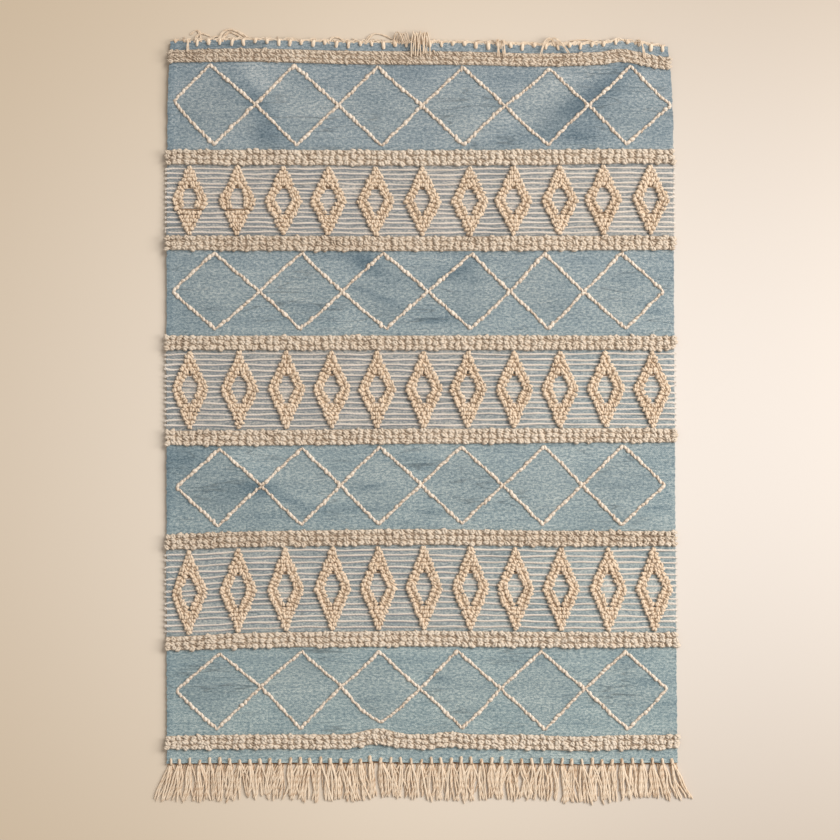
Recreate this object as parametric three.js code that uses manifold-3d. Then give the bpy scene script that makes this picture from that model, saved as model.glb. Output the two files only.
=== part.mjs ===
// A flatwoven rug lying on the floor: a blue ground cloth with bands and diamonds of thick cream
// pile, rows of diamonds drawn in wrapped yarn, a fringe spread out at the bottom hem and one
// folded under the top hem.
// Millimetres: X across the rug, Y along it from the bottom hem to the top one, Z up from the floor.
// A woven place is given across from the middle and along from the bottom hem. The function laid
// turns it into a place on the floor.
import * as THREE from 'three';
import Module from 'manifold-3d';
import { mergeVertices } from 'three/addons/utils/BufferGeometryUtils.js';

const wasm = await Module();
wasm.setup();

// Driving dimensions
const clothWidth = 1200;
const clothLength = 1700;
const clothThick = 3.5;
const gap = 0.3;
const pileHigh = 9;
const nubLump = 1.1;
const lineBroad = 6.5;
const lineHigh = 2.9;
const fringeLong = 88;

// The side edges of the laid rug, which draws in a little towards the top
const sideEdges = [
  { along: 0, left: -605, right: 607 },
  { along: 400, left: -606, right: 603 },
  { along: 1000, left: -606, right: 599 },
  { along: 1500, left: -604, right: 597 },
  { along: 1620, left: -601, right: 592 },
  { along: 1700, left: -596, right: 584 },
];

// Where the wefts run out of straight: each row lifts or drops them round one place
const weftPulls = [
  { across: -430, along: 1690, reachAcross: 200, reachAlong: 130, rise: 7 },
  { across: 300, along: 1690, reachAcross: 140, reachAlong: 110, rise: -5 },
  { across: 483, along: 1672, reachAcross: 32, reachAlong: 45, rise: 7 },
  { across: 592, along: 1664, reachAcross: 50, reachAlong: 60, rise: -13 },
  { across: -600, along: 400, reachAcross: 160, reachAlong: 250, rise: -11 },
  { across: 0, along: 450, reachAcross: 200, reachAlong: 220, rise: 4 },
  { across: -105, along: 50, reachAcross: 45, reachAlong: 45, rise: 11 },
  { across: 70, along: 50, reachAcross: 30, reachAlong: 40, rise: 7 },
  { across: 365, along: 50, reachAcross: 90, reachAlong: 60, rise: -5 },
  { across: 0, along: 1330, reachAcross: 220, reachAlong: 120, rise: -3 },
  { across: 500, along: 1400, reachAcross: 120, reachAlong: 160, rise: 3 },
];

// Soft swells where the cloth stands off the floor, long ones turned from the across direction.
// A swell lower than swellFoot leaves the cloth flat.
const swells = [
  { across: -400, along: 1560, reachAcross: 190, reachAlong: 85, turn: 42, rise: 6.5 },
  { across: 420, along: 1575, reachAcross: 210, reachAlong: 80, turn: 40, rise: 7 },
  { across: 130, along: 1520, reachAcross: 160, reachAlong: 80, turn: -35, rise: 4.5 },
  { across: -540, along: 1220, reachAcross: 130, reachAlong: 90, turn: 0, rise: 5 },
  { across: -190, along: 1130, reachAcross: 180, reachAlong: 80, turn: 30, rise: 5 },
  { across: 300, along: 1200, reachAcross: 170, reachAlong: 85, turn: -28, rise: 5.5 },
  { across: 540, along: 1010, reachAcross: 120, reachAlong: 90, turn: 10, rise: 4.5 },
  { across: -420, along: 650, reachAcross: 190, reachAlong: 80, turn: -20, rise: 6 },
  { across: 150, along: 590, reachAcross: 200, reachAlong: 85, turn: 15, rise: 4.5 },
  { across: 500, along: 640, reachAcross: 140, reachAlong: 90, turn: 35, rise: 5.5 },
  { across: -100, along: 230, reachAcross: 220, reachAlong: 80, turn: -12, rise: 5 },
  { across: 430, along: 300, reachAcross: 180, reachAlong: 80, turn: 25, rise: 4.5 },
];
const swellFoot = 0.9;

// The cloth lies flat at the bottom hem, and climbs onto the folded fringe before the top one
const flatHem = { until: 40, freeFrom: 130 };
const climb = { from: 1480, to: 1560, rise: 3.2 };

// The cloth is carried on a net of flat facets, which what lies on it follows
const bottomStrip = 14;
const topStrip = 8;
const netColumns = 15;
const netRows = 22;
const netFrom = bottomStrip + gap;
const netTo = clothLength - topStrip - gap;
const roomHigh = 60;
const bulgeSamples = 8;

// Three rows of knots to a band, numbered from the bottom hem
const pileBands = [
  { middle: 50, breadth: 38 },
  { middle: 291, breadth: 41 },
  { middle: 530, breadth: 42 },
  { middle: 771, breadth: 40 },
  { middle: 992, breadth: 38 },
  { middle: 1227, breadth: 39 },
  { middle: 1430, breadth: 40 },
  { middle: 1664, breadth: 34 },
];
const bandInset = 4;
const bandSteps = 20;

// A band's section, aside in half breadths and high as a share of the pile's height
const bandSection = [
  { aside: -1, high: 0 },
  { aside: -0.7, high: 1 },
  { aside: -0.34, high: 0.62 },
  { aside: 0, high: 1 },
  { aside: 0.34, high: 0.62 },
  { aside: 0.7, high: 1 },
  { aside: 1, high: 0 },
];

// Eleven diamonds stand in each row, between the band below and the band above
const diamondRows = [
  { below: 1, above: 2, halfWidth: 44 },
  { below: 3, above: 4, halfWidth: 44 },
  { below: 5, above: 6, halfWidth: 43 },
];
const diamondsInRow = 11;
const diamondSpan = 1092;
const diamondDrift = 10;
const diamondClear = 0.45;
const diamondShoulder = 4;
const openingHigh = 0.9;

// Corners of a diamond and of its opening, as shares of its half width and half height
const diamondOutline = [
  { across: 0.15, along: 1 },
  { across: -0.15, along: 1 },
  { across: -1, along: 0.07 },
  { across: -1, along: -0.07 },
  { across: -0.13, along: -1 },
  { across: 0.13, along: -1 },
  { across: 1, along: -0.07 },
  { across: 1, along: 0.07 },
];
const diamondOpening = [
  { across: 0.06, along: 0.4 },
  { across: -0.06, along: 0.4 },
  { across: -0.44, along: 0.04 },
  { across: -0.44, along: -0.04 },
  { across: -0.12, along: -0.26 },
  { across: 0.12, along: -0.26 },
  { across: 0.44, along: -0.04 },
  { across: 0.44, along: 0.04 },
];

// The crossing points of the line diamonds, the first and the last being the row's ends
const lineRows = [
  { middle: 175.5, reach: 89, crossings: [-580, -377, -188, -1, 188, 388, 582] },
  { middle: 655, reach: 90, crossings: [-580, -377, -188, -1, 192, 379, 575] },
  { middle: 1113, reach: 89, crossings: [-589, -381, -188, 20, 207, 384, 573] },
  { middle: 1550.5, reach: 89, crossings: [-590, -392, -195, 3, 200, 398, 596] },
];

// The tassels' roots in the two hems: four locks to a bottom tassel, one flat lock to a top one.
// A fringed strip is made stripLap deeper than it is and cut back along the cloth's edge.
const bottomTassels = { count: 51, locks: 4, rootBroad: 2, rootPitch: 2.5, knotHigh: 3.2 };
const topTassels = { count: 43, locks: 1, rootBroad: 7, rootPitch: 0, knotHigh: 2 };
const knotPast = 0.8;
const crownShare = 0.45;
const stripLap = 3;

// A bottom lock's breadth and height, how far apart the locks lie at their tips, and the ways in
// which they are uneven
const lockBroad = 2.7;
const lockTall = 2.4;
const lockSpread = 5.4;
const lockUneven = { long: 6, wave: 4, waveLong: 47, stray: 1.1, leanPower: 1.3 };
const lockRings = [
  { share: 0.26, fanned: 0.85 },
  { share: 0.62, fanned: 1 },
];
const lockTip = { share: 1, fanned: 1.05 };

// Places where the bottom tassels part, how far their tips sway, and the lean of the outermost
const partings = [
  { across: -183, wide: 6 },
  { across: -257, wide: 3 },
  { across: 67, wide: 7 },
  { across: 149, wide: 7 },
  { across: 356, wide: 4 },
];
const partingReach = 45;
const sway = { wide: 3, slow: 61, quick: 23 };
const endLean = { wide: 20, power: 9 };

// A top lock turns over outside the hem's edge and lies under the cloth
const tucked = { long: 84, ragged: 6, aside: 3, turnInner: 3.6, turnOuter: 6, turnHigh: 1.5, under: 1 };

// Loose locks that show at the top: out is how far they reach past the hem,
// to and over are where they end, over being measured inwards from the hem
const looseLocks = [
  { from: -549, out: 6, to: -551, over: 27 },
  { from: -520, out: 28, to: -546, over: -16 },
  { from: -481, out: 30, to: -408, over: -4 },
  { from: -214, out: 15, to: -176, over: -4 },
  { from: -126, out: 26, to: -62, over: -8 },
  { from: 190, out: 13, to: 191, over: 31 },
  { from: 203, out: 12, to: 205, over: 31 },
  { from: 316, out: 22, to: 288, over: 31 },
  { from: 328, out: 20, to: 366, over: 26 },
  { from: 430, out: 12, to: 366, over: -9 },
  { from: 521, out: 10, to: 540, over: 34 },
];
const floppedTassel = { first: -38, pitch: 6.8, count: 10, out: 31, over: 31, shift: 4, ragged: 2.5 };
const looseRadius = 1.7;
const looseSides = 3;
const looseSteps = 7;

// The ways a loose lock takes: back over the hem, at heights over the cloth's underside, or on the
// floor outside it. The shares are of the way aside, of out, and of over.
const wayOverHem = [
  { aside: 0.14, out: 0.7, over: 0, high: 2.8 },
  { aside: 0.35, out: 1, over: 0, high: 7.8 },
  { aside: 0.61, out: 0.45, over: 0, high: 14.2 },
  { aside: 0.87, out: 0, over: 0.4, high: 16.2 },
  { aside: 1, out: 0, over: 1, high: 18.4 },
];
const wayOutside = [
  { aside: 0.14, out: 0.7, over: 0, high: 2.1 },
  { aside: 0.35, out: 1, over: 0, high: 2.1 },
  { aside: 0.74, out: 0.6, over: 0.4, high: 2.1 },
  { aside: 1, out: 0, over: 1, high: 2.1 },
];

const clothBlue = new THREE.Color(0x8299a0);
const yarnCream = new THREE.Color(0xd8c3a5);
const lineCream = new THREE.Color(0xdccab2);
const fringeCream = new THREE.Color(0xd9c5a8);

const { lerp, degToRad, smoothstep, seededRandom } = THREE.MathUtils;

// An uneven number from -1 to 1, the same at every run
function uneven() {
  return seededRandom() * 2 - 1;
}

// How strongly a pull or a swell acts at a woven place, 1 in its middle
function strength(row, across, along) {
  const angle = degToRad(row.turn ?? 0);
  const a = across - row.across;
  const b = along - row.along;
  const lengthwise = (a * Math.cos(angle) + b * Math.sin(angle)) / row.reachAcross;
  const crosswise = (b * Math.cos(angle) - a * Math.sin(angle)) / row.reachAlong;
  return Math.exp(-(lengthwise ** 2) - crosswise ** 2);
}

function sidesAt(along) {
  const place = Math.min(Math.max(along, 0), clothLength);
  const next = Math.max(1, sideEdges.findIndex((edge) => edge.along >= place));
  const low = sideEdges[next - 1];
  const high = sideEdges[next];
  const share = (place - low.along) / (high.along - low.along);
  return { left: lerp(low.left, high.left, share), right: lerp(low.right, high.right, share) };
}

function netAcross(i) {
  return (i / netColumns - 0.5) * clothWidth;
}

function netAlong(j) {
  return lerp(netFrom, netTo, j / netRows);
}

// How far the cloth's underside stands off the floor at a knot of the net
function netLift(i, j) {
  const across = netAcross(i);
  const along = netAlong(j);
  const swell = swells.reduce((sum, row) => sum + row.rise * strength(row, across, along), 0);
  const free = smoothstep(along, flatHem.until, flatHem.freeFrom);
  const climbed = climb.rise * smoothstep(along, climb.from, climb.to);
  return Math.max(0, (swell - swellFoot) * free) + climbed;
}

function liftAt(across, along) {
  const column = (across / clothWidth + 0.5) * netColumns;
  const row = ((along - netFrom) / (netTo - netFrom)) * netRows;
  const i = Math.min(Math.max(Math.floor(column), 0), netColumns - 1);
  const j = Math.min(Math.max(Math.floor(row), 0), netRows - 1);
  const s = Math.min(Math.max(column - i, 0), 1);
  const t = Math.min(Math.max(row - j, 0), 1);
  const near = netLift(i, j);
  const far = netLift(i + 1, j + 1);
  if (s > t) {
    const corner = netLift(i + 1, j);
    return near + s * (corner - near) + t * (far - corner);
  }
  const corner = netLift(i, j + 1);
  return near + t * (corner - near) + s * (far - corner);
}

// A woven place, and a height above the cloth's underside, as a place on the floor
function laid(across, along, high) {
  const sides = sidesAt(along);
  const pull = weftPulls.reduce((sum, row) => sum + row.rise * strength(row, across, along), 0);
  const x = lerp(sides.left, sides.right, across / clothWidth + 0.5);
  return new THREE.Vector3(x, along + pull, liftAt(across, along) + high);
}

// A closed mesh of triangles that all face outwards
function closedMesh(points, faces) {
  const volume = faces.reduce(
    (sum, [a, b, c]) => sum + points[a].dot(points[b].clone().cross(points[c])),
    0,
  );
  const outward = volume < 0 ? faces.map(([a, b, c]) => [a, c, b]) : faces;
  const geometry = new THREE.BufferGeometry().setFromPoints(points);
  geometry.setIndex(outward.flat());
  return geometry;
}

// Rings of points joined in turn, closed at both ends by a fan, or end to end where it is a hoop
function loft(rings, hoop = false) {
  const round = rings[0].length;
  const faces = [];
  const lastJoin = hoop ? rings.length : rings.length - 1;
  for (let r = 0; r < lastJoin; r += 1) {
    const next = (r + 1) % rings.length;
    for (let k = 0; k < round; k += 1) {
      const beside = (k + 1) % round;
      const corners = [r * round + k, r * round + beside, next * round + beside, next * round + k];
      faces.push([corners[0], corners[1], corners[2]], [corners[0], corners[2], corners[3]]);
    }
  }
  if (!hoop) {
    const end = (rings.length - 1) * round;
    for (let k = 1; k < round - 1; k += 1) {
      faces.push([0, k + 1, k], [end, end + k, end + k + 1]);
    }
  }
  return closedMesh(rings.flat(), faces);
}

function solidOf(geometry) {
  const bare = geometry.clone();
  bare.deleteAttribute('normal');
  bare.deleteAttribute('uv');
  const merged = mergeVertices(bare, 1e-4);
  return new wasm.Manifold(
    new wasm.Mesh({
      numProp: 3,
      vertProperties: new Float32Array(merged.attributes.position.array),
      triVerts: new Uint32Array(merged.index.array),
    }),
  );
}

function geometryOf(solid) {
  const mesh = solid.getMesh();
  const geometry = new THREE.BufferGeometry();
  geometry.setAttribute('position', new THREE.BufferAttribute(mesh.vertProperties, 3));
  geometry.setIndex(new THREE.BufferAttribute(mesh.triVerts, 1));
  return geometry;
}

// The net between two heights over the cloth's underside, or past its edges too
function netBetween(low, high, past = 0) {
  const points = [];
  const faces = [];
  const columns = netColumns + 1;
  const layer = columns * (netRows + 1);
  for (const height of [low, high]) {
    for (let j = 0; j <= netRows; j += 1) {
      const beyond = past * ((j === netRows) - (j === 0));
      for (let i = 0; i <= netColumns; i += 1) {
        const point = laid(netAcross(i), netAlong(j) + beyond, height);
        point.x += past * ((i === netColumns) - (i === 0));
        points.push(point);
      }
    }
  }
  for (let j = 0; j < netRows; j += 1) {
    for (let i = 0; i < netColumns; i += 1) {
      const near = j * columns + i;
      const far = near + columns + 1;
      for (const corner of [near + 1, near + columns]) {
        const upward = corner === near + 1 ? [near, corner, far] : [near, far, corner];
        faces.push(upward.map((k) => k + layer), upward.toReversed());
      }
    }
  }
  const rim = [];
  for (let i = 0; i < netColumns; i += 1) rim.push(i);
  for (let j = 0; j < netRows; j += 1) rim.push(j * columns + netColumns);
  for (let i = netColumns; i > 0; i -= 1) rim.push(netRows * columns + i);
  for (let j = netRows; j > 0; j -= 1) rim.push(j * columns);
  rim.forEach((from, k) => {
    const to = rim[(k + 1) % rim.length];
    faces.push([from, to, to + layer], [from, to + layer, from + layer]);
  });
  return closedMesh(points, faces);
}

// The room over the floor that the cloth takes up, with the gap all round it
const clothRoom = solidOf(netBetween(-gap, roomHigh, gap));

// How far the cloth bulges over a flat patch whose four corners lie on it
function bulgeUnder(corners) {
  const lifts = corners.map(({ across, along }) => liftAt(across, along));
  const acrosses = corners.map((corner) => corner.across);
  const alongs = corners.map((corner) => corner.along);
  const blend = ([a, b, c, d], s, t) => lerp(lerp(a, b, s), lerp(d, c, s), t);
  let most = 0;
  for (let i = 0; i <= bulgeSamples; i += 1) {
    for (let j = 0; j <= bulgeSamples; j += 1) {
      const s = i / bulgeSamples;
      const t = j / bulgeSamples;
      const lift = liftAt(blend(acrosses, s, t), blend(alongs, s, t));
      most = Math.max(most, lift - blend(lifts, s, t));
    }
  }
  return most;
}

// Pile or yarn that lies on the cloth. Each ring begins and ends at its foot, and stands just
// clear of the facets under it.
function onCloth(rings, hoop = false) {
  const foot = (ring) => [ring[0], ring.at(-1)];
  const joins = rings.map((ring, k) => {
    const next = k + 1 < rings.length || hoop ? rings[(k + 1) % rings.length] : ring;
    return bulgeUnder([...foot(ring), ...foot(next).toReversed()]);
  });
  const raised = rings.map((ring, k) => {
    const before = k > 0 || hoop ? joins.at(k - 1) : 0;
    const clear = clothThick + gap + Math.max(joins[k], before);
    return ring.map(({ across, along, high }) => laid(across, along, clear + high));
  });
  return loft(raised, hoop);
}

// A band of pile: three lumpy ridges side by side
function pileBand({ middle, breadth }) {
  const rings = [];
  for (let step = 0; step <= bandSteps; step += 1) {
    const across = lerp(bandInset - clothWidth / 2, clothWidth / 2 - bandInset, step / bandSteps);
    rings.push(
      bandSection.map(({ aside, high }) => {
        const lump = high > 0 ? nubLump : 0;
        return {
          across,
          along: middle + (aside * breadth) / 2 + uneven() * lump,
          high: high * pileHigh + uneven() * lump,
        };
      }),
    );
  }
  return onCloth(rings);
}

// The lower or upper edge of a band, where its pile meets the cloth
function bandEdge(number, side) {
  const { middle, breadth } = pileBands[number];
  return middle + (side * breadth) / 2;
}

// A pile diamond: a ring that is broad at its two points
function pileDiamond(row, place) {
  const low = bandEdge(row.below, 1) + diamondClear;
  const high = bandEdge(row.above, -1) - diamondClear;
  const share = place / (diamondsInRow - 1);
  const drift = diamondDrift * Math.sin(Math.PI * Math.sqrt(share));
  const middleAcross = (share - 0.5) * diamondSpan + drift;
  const middleAlong = (low + high) / 2;
  const halfHeight = (high - low) / 2;
  const corner = ({ across, along }, drawnIn, tall) => {
    const shrink = 1 - drawnIn / row.halfWidth;
    return {
      across: middleAcross + across * row.halfWidth * shrink,
      along: middleAlong + along * halfHeight * shrink,
      high: tall > 0 ? tall + uneven() * nubLump : 0,
    };
  };
  const rings = diamondOutline.map((outer, k) => {
    const inner = diamondOpening[k];
    return [
      corner(outer, 0, 0),
      corner(outer, diamondShoulder, pileHigh),
      corner(inner, -diamondShoulder, pileHigh * openingHigh),
      corner(inner, 0, 0),
    ];
  });
  return onCloth(rings, true);
}

// A ridge of wrapped yarn along a zigzag, mitred at its turns
function lineRidge(path) {
  const rings = path.map((point, k) => {
    const back = point.clone().sub(path[k - 1] ?? path[1]).normalize();
    const ahead = (path[k + 1] ?? path.at(-2)).clone().sub(point).normalize();
    if (k === 0) back.copy(ahead);
    if (k === path.length - 1) ahead.copy(back);
    const heading = back.clone().add(ahead).normalize();
    const half = lineBroad / 2 / heading.dot(ahead);
    const at = (side, high) => ({
      across: point.x - heading.y * half * side,
      along: point.y + heading.x * half * side,
      high,
    });
    return [at(-1, 0), at(0, lineHigh), at(1, 0)];
  });
  return onCloth(rings);
}

// Two zigzags that cross at the row's middle and meet at its ends
function lineRow({ middle, reach, crossings }) {
  const zigzag = (firstWay) => {
    const path = [];
    for (let k = 0; k < crossings.length - 1; k += 1) {
      const way = k % 2 === 0 ? firstWay : -firstWay;
      const start = new THREE.Vector2(crossings[k], middle);
      const peak = new THREE.Vector2((crossings[k] + crossings[k + 1]) / 2, middle + way * reach);
      const finish = new THREE.Vector2(crossings[k + 1], middle);
      path.push(start, start.clone().lerp(peak, 0.5), peak, peak.clone().lerp(finish, 0.5));
    }
    path.push(new THREE.Vector2(crossings.at(-1), middle));
    return solidOf(lineRidge(path));
  };
  return geometryOf(zigzag(1).add(zigzag(-1)));
}

// A strip of the hem with the tassels' knots on it, and a root for each lock in its outer wall.
// outward is -1 at the bottom hem and 1 at the top one, rootTops gives a root's upper corners in
// half breadths, and lockFrom gives a lock's rings past its root.
function fringedStrip({ hem, deep, outward, tassels, rootTops, lockFrom }) {
  const backLine = deep + stripLap;
  const cellWide = clothWidth / tassels.count;
  const rootHalf = tassels.rootBroad / 2;
  const knotHalf = ((tassels.locks - 1) * tassels.rootPitch) / 2 + rootHalf + knotPast;
  const points = [];
  const faces = [];
  const place = (across, inward, high) => {
    return points.push(laid(across, hem - outward * inward, high)) - 1;
  };
  const endAt = (across) => ({
    backLow: place(across, backLine, 0),
    backTop: place(across, backLine, clothThick),
    frontLow: place(across, 0, 0),
    frontTop: place(across, 0, clothThick),
  });
  let { backLow, backTop, frontLow, frontTop } = endAt(-clothWidth / 2);
  faces.push([backLow, frontLow, frontTop], [backLow, frontTop, backTop]);
  for (let cell = 0; cell < tassels.count; cell += 1) {
    const middle = (cell + 0.5) * cellWide - clothWidth / 2;
    const beforeKnot = frontTop;
    const knotFront = [];
    for (let lock = 0; lock < tassels.locks; lock += 1) {
      const aside = (lock - (tassels.locks - 1) / 2) * tassels.rootPitch;
      const lows = [-rootHalf, rootHalf].map((side) => place(middle + aside + side, 0, 0));
      const tops = rootTops.map((side) => {
        return place(middle + aside + side * rootHalf, 0, clothThick);
      });
      faces.push([frontLow, lows[0], tops[0]], [frontLow, tops[0], frontTop]);
      faces.push([backLow, lows[0], frontLow], [backLow, lows[1], lows[0]]);
      addLock(points, faces, [...lows, ...tops.toReversed()], lockFrom(middle, aside));
      knotFront.push(...tops);
      frontLow = lows[1];
      frontTop = tops.at(-1);
    }
    const knotBack = [-knotHalf, knotHalf].map((side) => {
      return place(middle + side, backLine, clothThick);
    });
    const knotRim = [knotBack[0], ...knotFront, knotBack[1]];
    const crown = place(middle, deep * crownShare, clothThick + tassels.knotHigh);
    knotRim.forEach((from, k) => faces.push([crown, from, knotRim[(k + 1) % knotRim.length]]));
    faces.push([backTop, beforeKnot, knotFront[0]], [backTop, knotFront[0], knotBack[0]]);
    const nextLow = place((cell + 1) * cellWide - clothWidth / 2, backLine, 0);
    faces.push([backLow, nextLow, frontLow], [backLow, backTop, knotBack[0]]);
    faces.push([backLow, knotBack[0], knotBack[1]], [backLow, knotBack[1], nextLow]);
    backLow = nextLow;
    backTop = knotBack[1];
  }
  const end = endAt(clothWidth / 2);
  faces.push([frontLow, end.frontLow, end.frontTop], [frontLow, end.frontTop, frontTop]);
  faces.push([backTop, frontTop, end.frontTop], [backTop, end.frontTop, end.backTop]);
  faces.push([end.backLow, end.frontLow, frontLow], [end.backLow, backTop, end.backTop]);
  faces.push([end.backLow, end.backTop, end.frontTop], [end.backLow, end.frontTop, end.frontLow]);
  return solidOf(closedMesh(points, faces)).subtract(clothRoom);
}

// A lock of yarn from its root in the strip, ring by ring to its tip
function addLock(points, faces, root, { rings, tip }) {
  let ring = root;
  for (const next of rings) {
    const made = next.map((point) => points.push(point) - 1);
    ring.forEach((from, k) => {
      const beside = (k + 1) % ring.length;
      faces.push([from, ring[beside], made[beside]], [from, made[beside], made[k]]);
    });
    ring = made;
  }
  const end = points.push(tip) - 1;
  ring.forEach((from, k) => faces.push([from, ring[(k + 1) % ring.length], end]));
}

// How far the bottom tassels lean aside at their tips
function leanAt(across) {
  const parted = partings.reduce((sum, row) => {
    const off = across - row.across;
    return sum + Math.sign(off) * row.wide * Math.exp(-Math.abs(off) / partingReach);
  }, 0);
  const swayed = sway.wide * Math.sin(across / sway.slow) * Math.cos(across / sway.quick);
  return parted + swayed + endLean.wide * (across / (clothWidth / 2)) ** endLean.power;
}

// A bottom lock fans out and lies level on the floor
function bottomLock(middle, aside) {
  const root = laid(middle, 0, 0);
  const wave = lockUneven.wave * Math.sin(middle / lockUneven.waveLong);
  const long = fringeLong + lockUneven.long * uneven() + wave;
  const lean = leanAt(middle) + lockUneven.stray * uneven();
  const fan = (aside / bottomTassels.rootPitch) * lockSpread;
  const half = lockBroad / 2;
  const at = ({ share, fanned }, side, high) => {
    const x = root.x + lerp(aside, fan, fanned) + lean * share ** lockUneven.leanPower;
    return new THREE.Vector3(x + side, root.y - long * share, high);
  };
  return {
    rings: lockRings.map((row) => [at(row, -half, 0), at(row, half, 0), at(row, 0, lockTall)]),
    tip: at(lockTip, 0, 0),
  };
}

// A top lock turns down over the hem's edge and lies flat on the floor under the cloth
function tuckedLock(middle) {
  const root = laid(middle, clothLength, 0);
  const half = topTassels.rootBroad / 2;
  const at = (side, out, high) => new THREE.Vector3(root.x + side, root.y + out, high);
  const halfWay = root.z / 2 + tucked.turnHigh;
  const turn = [
    at(-half, tucked.turnInner, halfWay),
    at(half, tucked.turnInner, halfWay),
    at(half, tucked.turnOuter, halfWay),
    at(-half, tucked.turnOuter, halfWay),
  ];
  const under = [
    at(-half, tucked.under, lockTall),
    at(half, tucked.under, lockTall),
    at(half, tucked.under, 0),
    at(-half, tucked.under, 0),
  ];
  const tip = at(tucked.aside * uneven(), tucked.ragged * uneven() - tucked.long, 0);
  return { rings: [turn, under], tip };
}

// A loose lock leaves the top strip and falls back over the cloth, or lies outside it
function looseLock({ from, out, to, over }) {
  const way = over > 0 ? wayOverHem : wayOutside;
  const route = way.map((row) => {
    const point = laid(lerp(from, to, row.aside), clothLength, row.high);
    point.y += out * row.out - over * row.over;
    return over > 0 ? point : point.setZ(row.high);
  });
  const root = laid(from, clothLength - topStrip / 2, clothThick / 2);
  const corners = Array.from({ length: looseSides }, (_, k) => {
    const angle = (k / looseSides) * 2 * Math.PI;
    return new THREE.Vector2(Math.cos(angle), Math.sin(angle)).multiplyScalar(looseRadius);
  });
  return new THREE.ExtrudeGeometry(new THREE.Shape(corners), {
    steps: looseSteps,
    bevelEnabled: false,
    extrudePath: new THREE.CatmullRomCurve3([root, ...route], false, 'centripetal'),
  });
}

// One bottom tassel's worth of locks has flopped over the top hem side by side
function floppedLocks() {
  const { first, pitch, count, out, over, shift, ragged } = floppedTassel;
  return Array.from({ length: count }, (_, k) => {
    const from = first + k * pitch;
    return { from, out: out + ragged * uneven(), to: from + shift, over: over + ragged * uneven() };
  });
}

const rug = new THREE.Group();
rug.name = 'rug';
rug.position.y = -clothLength / 2;

function addPiece(name, geometry, color, roughness) {
  const flat = geometry.toNonIndexed();
  flat.computeVertexNormals();
  const material = new THREE.MeshStandardMaterial({ color, roughness, metalness: 0 });
  const mesh = new THREE.Mesh(flat, material);
  mesh.name = name;
  rug.add(mesh);
}

seededRandom(41);
addPiece('ground', netBetween(0, clothThick), clothBlue, 0.95);
pileBands.forEach((band, k) => addPiece(`pile_band_${k + 1}`, pileBand(band), yarnCream, 0.97));
diamondRows.forEach((row, k) => {
  for (let place = 0; place < diamondsInRow; place += 1) {
    addPiece(`pile_diamond_${k + 1}_${place + 1}`, pileDiamond(row, place), yarnCream, 0.97);
  }
});
lineRows.forEach((row, k) => addPiece(`line_row_${k + 1}`, lineRow(row), lineCream, 0.9));

const bottomFringe = fringedStrip({
  hem: 0,
  deep: bottomStrip,
  outward: -1,
  tassels: bottomTassels,
  rootTops: [0],
  lockFrom: bottomLock,
});
addPiece('fringe_bottom', geometryOf(bottomFringe), fringeCream, 0.95);

const topFringe = fringedStrip({
  hem: clothLength,
  deep: topStrip,
  outward: 1,
  tassels: topTassels,
  rootTops: [-1, 1],
  lockFrom: tuckedLock,
});
const topWithLocks = [...looseLocks, ...floppedLocks()].reduce(
  (solid, lock) => solid.add(solidOf(looseLock(lock))),
  topFringe,
);
addPiece('fringe_top', geometryOf(topWithLocks), fringeCream, 0.95);

export default rug;
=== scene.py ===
"""The kilim rug dressed: the blue cloth, its pinstripes, the looped pile, the wrapped yarn lines and both
fringes. Metres, X across the rug, Y along it, Z up. Tables are in millimetres of woven cloth: across from
the middle, along from the bottom hem, as in the part's source."""

import functools
import math

import bpy
import numpy as np
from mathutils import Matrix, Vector


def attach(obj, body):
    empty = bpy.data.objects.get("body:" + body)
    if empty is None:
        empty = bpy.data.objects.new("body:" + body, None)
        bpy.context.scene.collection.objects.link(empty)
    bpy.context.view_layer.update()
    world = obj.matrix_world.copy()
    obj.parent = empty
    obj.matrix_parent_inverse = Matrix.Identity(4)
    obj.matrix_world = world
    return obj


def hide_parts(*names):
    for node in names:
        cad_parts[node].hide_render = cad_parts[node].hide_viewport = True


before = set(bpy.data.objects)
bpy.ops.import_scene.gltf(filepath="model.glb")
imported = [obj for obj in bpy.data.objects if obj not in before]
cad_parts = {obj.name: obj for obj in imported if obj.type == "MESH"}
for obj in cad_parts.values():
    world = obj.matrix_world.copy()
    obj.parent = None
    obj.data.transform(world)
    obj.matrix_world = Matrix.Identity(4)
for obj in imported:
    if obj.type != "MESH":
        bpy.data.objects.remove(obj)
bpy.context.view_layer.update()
rng = np.random.default_rng(11)

CLOTH_WIDTH = 1200.0
CLOTH_LENGTH = 1700.0
CLOTH_THICK = 3.5
HALF_WIDTH = CLOTH_WIDTH / 2

# How far the curl of the selvedge and the pile reach past the cloth's side edges
PAST_EDGE = 6

# The cloth's mesh across and along, how ragged its hems are and how much more its selvedges,
# and the height of its wefts' ripples
CLOTH_GRID = (108, 382)
RAGGED = 0.9
SELVEDGE_RAGGED = 1.2
RIPPLE = 0.35

# The side edges of the laid rug: along, left, right
SIDE_EDGES = [
    (0, -605, 607),
    (400, -606, 603),
    (1000, -606, 599),
    (1500, -604, 597),
    (1620, -601, 592),
    (1700, -596, 584),
]

# The left selvedge is drawn in and curls up a little: from where, how far in, how high
SELVEDGE_FROM = -565.0
SELVEDGE_DRAW = 6.5
SELVEDGE_CURL = 4.0

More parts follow.
